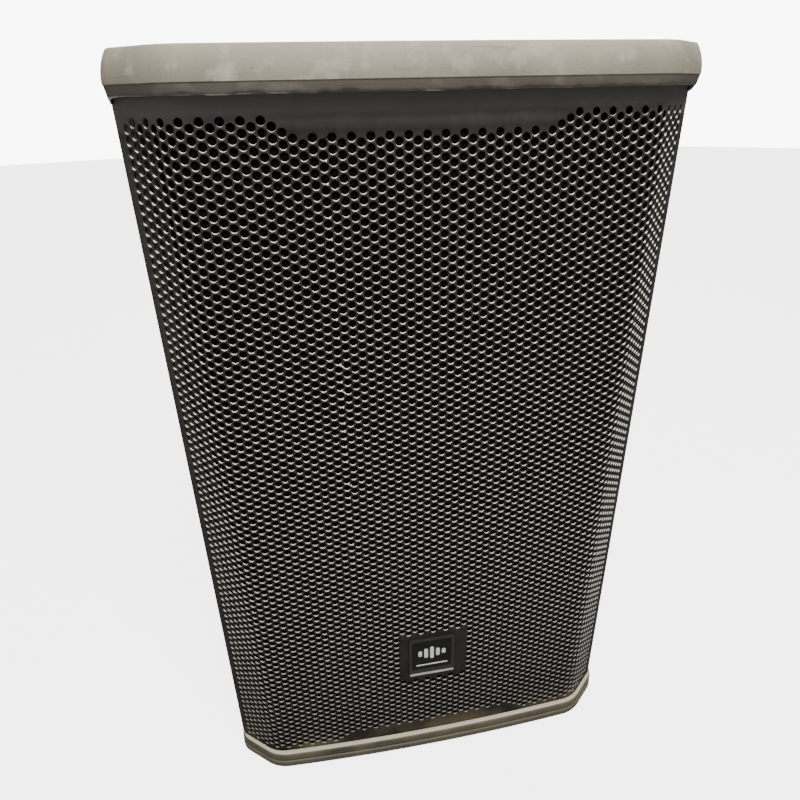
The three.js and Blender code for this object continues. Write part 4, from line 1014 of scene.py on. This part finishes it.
def plinth_shell():
    shell = Shell()
    low, high = plinth_low.z, plinth_high.z
    rings = []
    for inset, z in plinth_profile():
        share = min(inset, SIDE_LEDGE - 0.0010)
        outline = plan(
            PLINTH_OUT - inset, PLINTH_WING - inset, SIDE_LEDGE - share, REAR_OVERHANG - inset,
            CORNER_RADIUS - inset, BACK_RADIUS - inset,
        )
        rings.append(shell.ring(outline, z))
    for lower, upper in zip(rings, rings[1:]):
        shell.wall(lower, upper)
    floor_z = low + 0.005
    inner_top = shell.ring(plan(**POCKET), high - 0.0006)
    inner_floor = shell.ring(plan(**POCKET), floor_z)
    shell.wall(rings[-1], inner_top)
    shell.wall(inner_top, inner_floor)
    socket_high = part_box("pole_socket")[1]
    flange = circle(socket_high.x + GAP, 48)
    bore = circle(socket_high.x - 0.0117, 48)
    rim = shell.ring(flange, low)
    ledge = shell.ring(flange, low + 0.0033)
    ledge_in = shell.ring(bore, low + 0.0033)
    top_in = shell.ring(bore, floor_z)
    shell.wall(ledge, rim)
    shell.plate(ledge, [ledge_in], False)
    shell.wall(top_in, ledge_in)
    wells = []
    for index in (1, 2, 3, 4):
        a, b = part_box(f"rubber_foot_{index}")
        centre = (a + b) / 2
        outline = circle((b.y - a.y) / 2 + 0.0006, 32, centre.x, centre.y)
        well = shell.ring(outline, low)
        shell.pit(outline, well, b.z + GAP, False)
        wells.append(well)
    shell.plate(rings[0], [rim] + wells, False)
    shell.plate(inner_floor, [top_in], True)
    finish_mesh(
        "plinth_shell", shell.mesh("plinth_shell"), M["plinth"], 32,
        replaces=["bottom_plinth"],
    )


# ---- badge ----------------------------------------------------------------------------------
def flat_shape(name, outline, thickness):
    shell = Shell()
    bottom = shell.ring(outline, 0.0)
    top = shell.ring(outline, thickness)
    shell.wall(bottom, top)
    shell.lid(bottom, False)
    shell.lid(top, True)
    return shell.mesh(name)


def badge_face():
    """Recessed gloss face with a plain five-bar level sign and a rule below it."""
    width = badge_high.x - badge_low.x
    height = badge_high.z - badge_low.z
    y = badge_low.y
    middle = (badge_low.z + badge_high.z) / 2 + 0.003
    face = flat_shape("face", round_box(width - 0.006, height - 0.012, 0.0015), 0.0004)
    facing_front(face, 0, y + 0.0001, middle)
    finish_mesh("badge_face", face, M["gloss"])
    bars = []
    for index, tall in enumerate((0.0075, 0.0130, 0.0165, 0.0105, 0.0065)):
        bar = flat_shape("bar", round_box(0.0040, tall, 0.0016), 0.0005)
        bars.append(facing_front(bar, (index - 2) * 0.0064, y - 0.0003, middle + 0.0035))
    rule = flat_shape("rule", round_box(0.034, 0.0014, 0.0006), 0.0004)
    bars.append(facing_front(rule, 0, y - 0.0003, middle - 0.0135))
    finish_mesh("badge_sign", merge("badge_sign", bars), M["ink"])


# ---- handles, feet and socket ---------------------------------------------------------------
def handle_cup():
    """Long round-ended well in the top, with a soft rim and a filleted floor."""
    shell = Shell()
    top, floor_z, wall = cup_high.z, cup_low.z, 0.003
    steps = [(0.0, floor_z), (0.0, top - 0.001), (-0.0004, top - 0.0003), (-0.001, top)]
    steps += [(-0.002, top), (-0.0026, top - 0.0003), (-wall, top - 0.001), (-wall, floor_z + 0.011)]
    for i in range(1, 6):
        angle = i / 5 * math.pi / 2
        steps.append((-wall - 0.008 * (1 - math.cos(angle)), floor_z + 0.011 - 0.008 * math.sin(angle)))
    rings = [shell.ring(stadium(grow), z) for grow, z in steps]
    for lower, upper in zip(rings, rings[1:]):
        shell.wall(lower, upper)
    shell.lid(rings[0], False)
    shell.lid(rings[-1], True)
    finish_mesh(
        "handle_cup", shell.mesh("handle_cup"), M["plastic"], 35,
        replaces=["top_handle_cup"],
    )


def handle_grip():
    """Bar across the well; its ends follow the well's round ends, its underside is ribbed."""
    low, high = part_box("top_handle_grip")
    centre, size = (low + high) / 2, high - low
    cup_size = cup_high - cup_low
    end_radius = cup_size.y / 2 - 0.0033
    straight = (cup_size.x - cup_size.y) / 2
    shell = Shell()
    section = round_box(size.y, size.z, size.z / 2 - 0.001, 8)
    rings = []
    for i in range(73):
        share = 2 * i / 72 - 1
        rib = 0.0005 * max(0.0, math.cos(share * 84)) if abs(share) < 0.62 else 0.0
        start = len(shell.points)
        for p in section:
            reach = straight + math.sqrt(end_radius**2 - p.x**2)
            lift = p.y * (1 - (rib / 0.01 if p.y < 0.004 else 0.0))
            shell.points.append(Vector((centre.x + share * reach, centre.y + p.x, centre.z + lift)))
        rings.append(list(range(start, len(shell.points))))
    for left, right in zip(rings, rings[1:]):
        shell.wall(right, left)
    shell.lid(rings[0], True)
    shell.lid(rings[-1], False)
    finish_mesh(
        "handle_grip", shell.mesh("handle_grip"), M["metal"], 50,
        replaces=["top_handle_grip"],
    )


def feet():
    for index in (1, 2, 3, 4):
        low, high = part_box(f"rubber_foot_{index}")
        centre, r, tall = (low + high) / 2, (high.y - low.y) / 2, high.z - low.z
        profile = [(0.006, 0.0004), (0.0075, 0.0), (r - 0.0022, 0.0), (r - 0.0008, 0.0005), (r, 0.002)]
        profile += [(r, tall - 0.0002), (r - 0.0002, tall)]
        name = f"foot_{index}"
        mesh = turned(name, profile)
        mesh.transform(Matrix.Translation((centre.x, centre.y, 0)))
        finish_mesh(name, mesh, M["rubber"], 30, replaces=[f"rubber_foot_{index}"])


# ---- screws ---------------------------------------------------------------------------------
def socket_head(radius, height, key):
    """Screw head with a six-sided socket, made along +Z from its seat."""
    shell = Shell()
    rim = [(1.0, 0.0), (1.0, 0.55), (0.93, 0.85), (0.78, 1.0)]
    rings = [shell.ring(circle(radius * r, 28), height * z) for r, z in rim]
    for lower, upper in zip(rings, rings[1:]):
        shell.wall(lower, upper)
    shell.lid(rings[0], False)
    mouth = shell.ring(circle(key, 6), height)
    shell.pit(circle(key, 6), mouth, height * 0.3, True)
    shell.plate(rings[-1], [mouth], True)
    return shell.mesh("screw_head")


def panel_screws():
    inset = 0.005
    right, low, high = panel_high.x - inset, panel_low.z + inset, panel_high.z - inset
    heights = [low + (high - low) * i / 3 for i in range(4)]
    places = [(side * right, z) for side in (-1, 1) for z in heights] + [(0.0, low), (0.0, high)]
    heads = [facing_back(socket_head(0.0034, 0.0019, 0.0014), x, PANEL_FACE, z) for x, z in places]
    finish_mesh("amp_panel_screws", merge("amp_panel_screws", heads), M["metal"], 30)


def handle_screws(name, side):
    """Four heads on the flange of a side handle."""
    low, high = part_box(name)
    turn = math.atan2(TAPER, REAR_Y - CORNER.y)
    out = Vector((side * math.cos(turn), math.sin(turn), 0))
    up = Vector((0, 0, 1))
    along = up.cross(out)
    y, z = (low.y + high.y) / 2, (low.z + high.z) / 2
    face = Vector((side * (CORNER_X - (y - CORNER.y) * math.tan(turn)), y, z)) + out * 0.0028
    axes = Matrix((along, up, out)).transposed().to_4x4()
    heads = []
    for a in (-0.058, 0.058):
        for b in (-0.0493, 0.0493):
            head = socket_head(0.0031, 0.0016, 0.0013)
            head.transform(Matrix.Translation(face + along * a + up * b) @ axes)
            heads.append(head)
    finish_mesh(f"{name}_screws", merge(f"{name}_screws", heads), M["metal"], 30)


# ---- amplifier panel ------------------------------------------------------------------------
def centre_of(node):
    low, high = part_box(node)
    return (low + high) / 2


def fluted(radius, depth, flutes=14, steps=84):
    points = []
    for i in range(steps):
        angle = 2 * math.pi * i / steps
        r = radius - depth * max(0.0, math.cos(flutes * angle)) ** 2
        points.append(Vector((r * math.cos(angle), r * math.sin(angle))))
    return points


# ---- controls of the rear panel, in metres ----------------------------------------------------
KNOB_LIFT = 0.0008
KNOB_HEIGHT = 0.0096
SHAFT_LENGTH = 0.0096
TURN_LIMIT = 150
TICK_STEP = 30
TICK_OUT = 0.0119
PRINT_THICKNESS = 0.00012
RULE_WIDTH = 0.0005
RULE_END = 0.012
INSERT_RADIUS = 0.0076
INSERT_DEPTH = 0.0129
CONTACT_CIRCLE = 0.0031
CONTACT_RADIUS = 0.0012
CONTACT_DEPTH = 0.006
PIN_PROFILE = [(0.0010, 0.0), (0.0011, 0.0075), (0.0008, 0.0084), (0.0003, 0.0087)]
BLADE_LENGTH = 0.0125
BLADE_DEPTH = 0.0168


def level_knob(index):
    """Fluted cap on a plain skirt and a shaft, with a pale pointer line."""
    node = f"level_knob_{index}"
    centre = centre_of(node)
    base = PANEL_FACE + KNOB_LIFT
    shell = Shell()
    steps = [
        (circle(0.0029, 84), -SHAFT_LENGTH), (circle(0.0029, 84), 0.0), (circle(0.0083, 84), 0.0),
        (circle(0.0085, 84), 0.0003), (circle(0.0084, 84), 0.0026), (circle(0.0081, 84), 0.0030),
        (circle(0.0068, 84), 0.0032), (fluted(0.0063, 0.0005), 0.0036), (fluted(0.0061, 0.0005), 0.0088),
        (fluted(0.0058, 0.0004), 0.0094), (fluted(0.0052, 0.0), KNOB_HEIGHT),
    ]
    rings = [shell.ring(outline, z) for outline, z in steps]
    for lower, upper in zip(rings, rings[1:]):
        shell.wall(lower, upper)
    shell.lid(rings[0], False)
    shell.lid(rings[-1], True)
    knob = facing_back(shell.mesh("knob"), centre.x, base, KNOB_Z)
    finish_mesh(f"knob_{index}", knob, M["plastic"], 35, node, [node])
    line = flat_shape("line", round_box(0.0009, 0.0042, 0.0003, 3, 0.0, 0.0030), 0.0003)
    facing_back(line, centre.x, base + KNOB_HEIGHT, KNOB_Z)
    finish_mesh(f"knob_pointer_{index}", line, M["ink"], 35, node)


def panel_marks():
    """Printed ticks round the knobs and thin rules between the rows of controls."""
    marks = []
    for index in (1, 2):
        x = centre_of(f"level_knob_{index}").x
        for turn in range(-TURN_LIMIT, TURN_LIMIT + 1, TICK_STEP):
            angle = math.radians(turn)
            c, s = math.cos(angle), math.sin(angle)
            outline = round_box(RULE_WIDTH, 0.0021, 0.0002, 2, 0.0, TICK_OUT)
            turned_tick = [Vector((p.x * c + p.y * s, p.y * c - p.x * s)) for p in outline]
            mark = flat_shape("tick", turned_tick, PRINT_THICKNESS)
            marks.append(facing_back(mark, x, PANEL_FACE, KNOB_Z))
    socket_z = centre_of("input_socket_1").z
    inner = panel_high.x - RULE_END
    for z in (KNOB_Z + 0.019, socket_z - 0.022):
        rule = flat_shape("rule", round_box(2 * inner, RULE_WIDTH, 0.0002, 2), PRINT_THICKNESS)
        marks.append(facing_back(rule, 0.0, PANEL_FACE, z))
    for index in (1, 2):
        x = centre_of(f"level_knob_{index}").x - 0.024
        tall = KNOB_Z + 0.015 - (socket_z - 0.018)
        rule = flat_shape("divider", round_box(RULE_WIDTH, tall, 0.0002, 2), PRINT_THICKNESS)
        marks.append(facing_back(rule, x, PANEL_FACE, socket_z - 0.018 + tall / 2))
    finish_mesh("panel_marks", merge("panel_marks", marks), M["ink"])


def contact_blocks():
    """Insulating inserts in the round sockets, with three contact holes or three pins."""
    bottom = PANEL_FACE - INSERT_DEPTH
    angles = (math.pi, math.pi / 3, -math.pi / 3)
    places = [(CONTACT_CIRCLE * math.sin(a), CONTACT_CIRCLE * math.cos(a)) for a in angles]
    for node, is_output in (("input_socket_1", False), ("input_socket_2", False), ("link_output", True)):
        centre = centre_of(node)
        tall = 0.002 if is_output else 0.0105
        shell = Shell()
        base = shell.ring(circle(INSERT_RADIUS, 36), 0.0)
        shoulder = shell.ring(circle(INSERT_RADIUS, 36), tall - 0.0004)
        top = shell.ring(circle(0.0072, 36), tall)
        shell.wall(base, shoulder)
        shell.wall(shoulder, top)
        shell.lid(base, False)
        holes = []
        if not is_output:
            for x, y in places:
                outline = circle(CONTACT_RADIUS, 16, x, y)
                mouth = shell.ring(outline, tall)
                shell.pit(outline, mouth, tall - CONTACT_DEPTH, True)
                holes.append(mouth)
        shell.plate(top, holes, True)
        block = facing_back(shell.mesh("block"), centre.x, bottom, centre.z)
        finish_mesh(f"{node}_insert", block, M["plastic"], 35)
        if is_output:
            pins = []
            for x, y in places:
                pin = turned("pin", PIN_PROFILE, 16)
                pins.append(facing_back(pin, centre.x - x, bottom + tall + 0.0001, centre.z + y))
            finish_mesh(f"{node}_pins", merge("pins", pins), M["zinc"], 35)


def inlet_pins():
    centre = centre_of("mains_inlet")
    blades = []
    for x, z in ((-0.007, -0.002), (0.0, 0.002), (0.007, -0.002)):
        blade = flat_shape("blade", round_box(0.0022, 0.0042, 0.0007, 3), BLADE_LENGTH)
        blades.append(facing_back(blade, centre.x + x, PANEL_FACE - BLADE_DEPTH, centre.z + z))
    finish_mesh("mains_inlet_pins", merge("mains_inlet_pins", blades), M["zinc"], 35)


# ---- camera, lights and floor ---------------------------------------------------------------
CAMERA_PLACE = (-0.1062, FRONT_Y - 0.44484, 0.6795)
CAMERA_RIGHT = (0.98282, -0.18347, -0.02011)
CAMERA_UP = (0.10016, 0.43868, 0.89304)
CAMERA_BACK = (-0.15503, -0.87971, 0.44952)
LENS = 27.17
SENSOR = 36
KEY_POWER = 68
FILL_POWER = 7
BACK_POWER = 26
WORLD_LIGHT = 0.2
WORLD_SEEN = 9.0
FLOOR_GLOW = 4.2
FLOOR_RADIUS = 9.0


def camera():
    data = bpy.data.cameras.new("camera")
    data.lens = LENS
    data.sensor_width = SENSOR
    eye = bpy.data.objects.new("camera", data)
    turn = Matrix((CAMERA_RIGHT, CAMERA_UP, CAMERA_BACK)).transposed().to_4x4()
    eye.matrix_world = Matrix.Translation(CAMERA_PLACE) @ turn
    bpy.context.scene.collection.objects.link(eye)
    bpy.context.scene.camera = eye


def area_light(name, place, target, size, power, color=(1, 1, 1)):
    data = bpy.data.lights.new(name, "AREA")
    data.shape = "RECTANGLE"
    data.size, data.size_y = size
    data.energy = power
    data.color = color
    light = bpy.data.objects.new(name, data)
    light.location = place
    aim = Vector(target) - Vector(place)
    light.rotation_euler = aim.to_track_quat("-Z", "Y").to_euler()
    bpy.context.scene.collection.objects.link(light)


def studio():
    area_light("key", (0.15, -1.10, 2.05), (0.0, -0.16, 0.45), (0.9, 0.5), KEY_POWER, (1.0, 0.985, 0.96))
    area_light("fill", (-1.6, -1.6, 1.1), (0, 0, 0.4), (1.4, 1.4), FILL_POWER)
    area_light("back", (0.6, 1.9, 1.6), (0, 0.1, 0.4), (1.6, 1.2), BACK_POWER)
    world = bpy.data.worlds.new("studio")
    world.use_nodes = True
    nodes, links = world.node_tree.nodes, world.node_tree.links
    background = nodes["Background"]
    background.inputs["Color"].default_value = (1, 1, 1, 1)
    seen = nodes.new("ShaderNodeLightPath")
    mix = nodes.new("ShaderNodeMapRange")
    mix.inputs["To Min"].default_value = WORLD_LIGHT
    mix.inputs["To Max"].default_value = WORLD_SEEN
    links.new(seen.outputs["Is Camera Ray"], mix.inputs["Value"])
    links.new(mix.outputs[0], background.inputs["Strength"])
    bpy.context.scene.world = world


def floor():
    f = Finish("floor_white", (0.42, 0.42, 0.42), 0.9)
    f.cover(f.cloud(3.0, 0.3, 0.8), (0.4, 0.4, 0.4))
    material = f.bump(f.group("grain", Scale=300.0, Ripple=0.0), 0.00005).done()
    glow = f.times(f.nodes.new("ShaderNodeLightPath").outputs["Is Camera Ray"], FLOOR_GLOW)
    f.shader.inputs["Emission Color"].default_value = (1, 1, 1, 1)
    f.links.new(glow, f.shader.inputs["Emission Strength"])
    shell = Shell()
    ring = shell.ring(circle(FLOOR_RADIUS, 64), 0.0)
    shell.lid(ring, True)
    mesh = shell.mesh("floor")
    mesh.materials.append(material)
    ground = bpy.data.objects.new("floor", mesh)
    bpy.context.scene.collection.objects.link(ground)


# ---- build ----------------------------------------------------------------------------------
camera()
studio()
floor()
dress_frame()
perforated_grille()
cap_shell()
plinth_shell()
badge_face()
handle_cup()
handle_grip()
feet()
panel_screws()
handle_screws("side_handle_right", 1)
handle_screws("side_handle_left", -1)
for knob_number in (1, 2):
    level_knob(knob_number)
panel_marks()
contact_blocks()
inlet_pins()
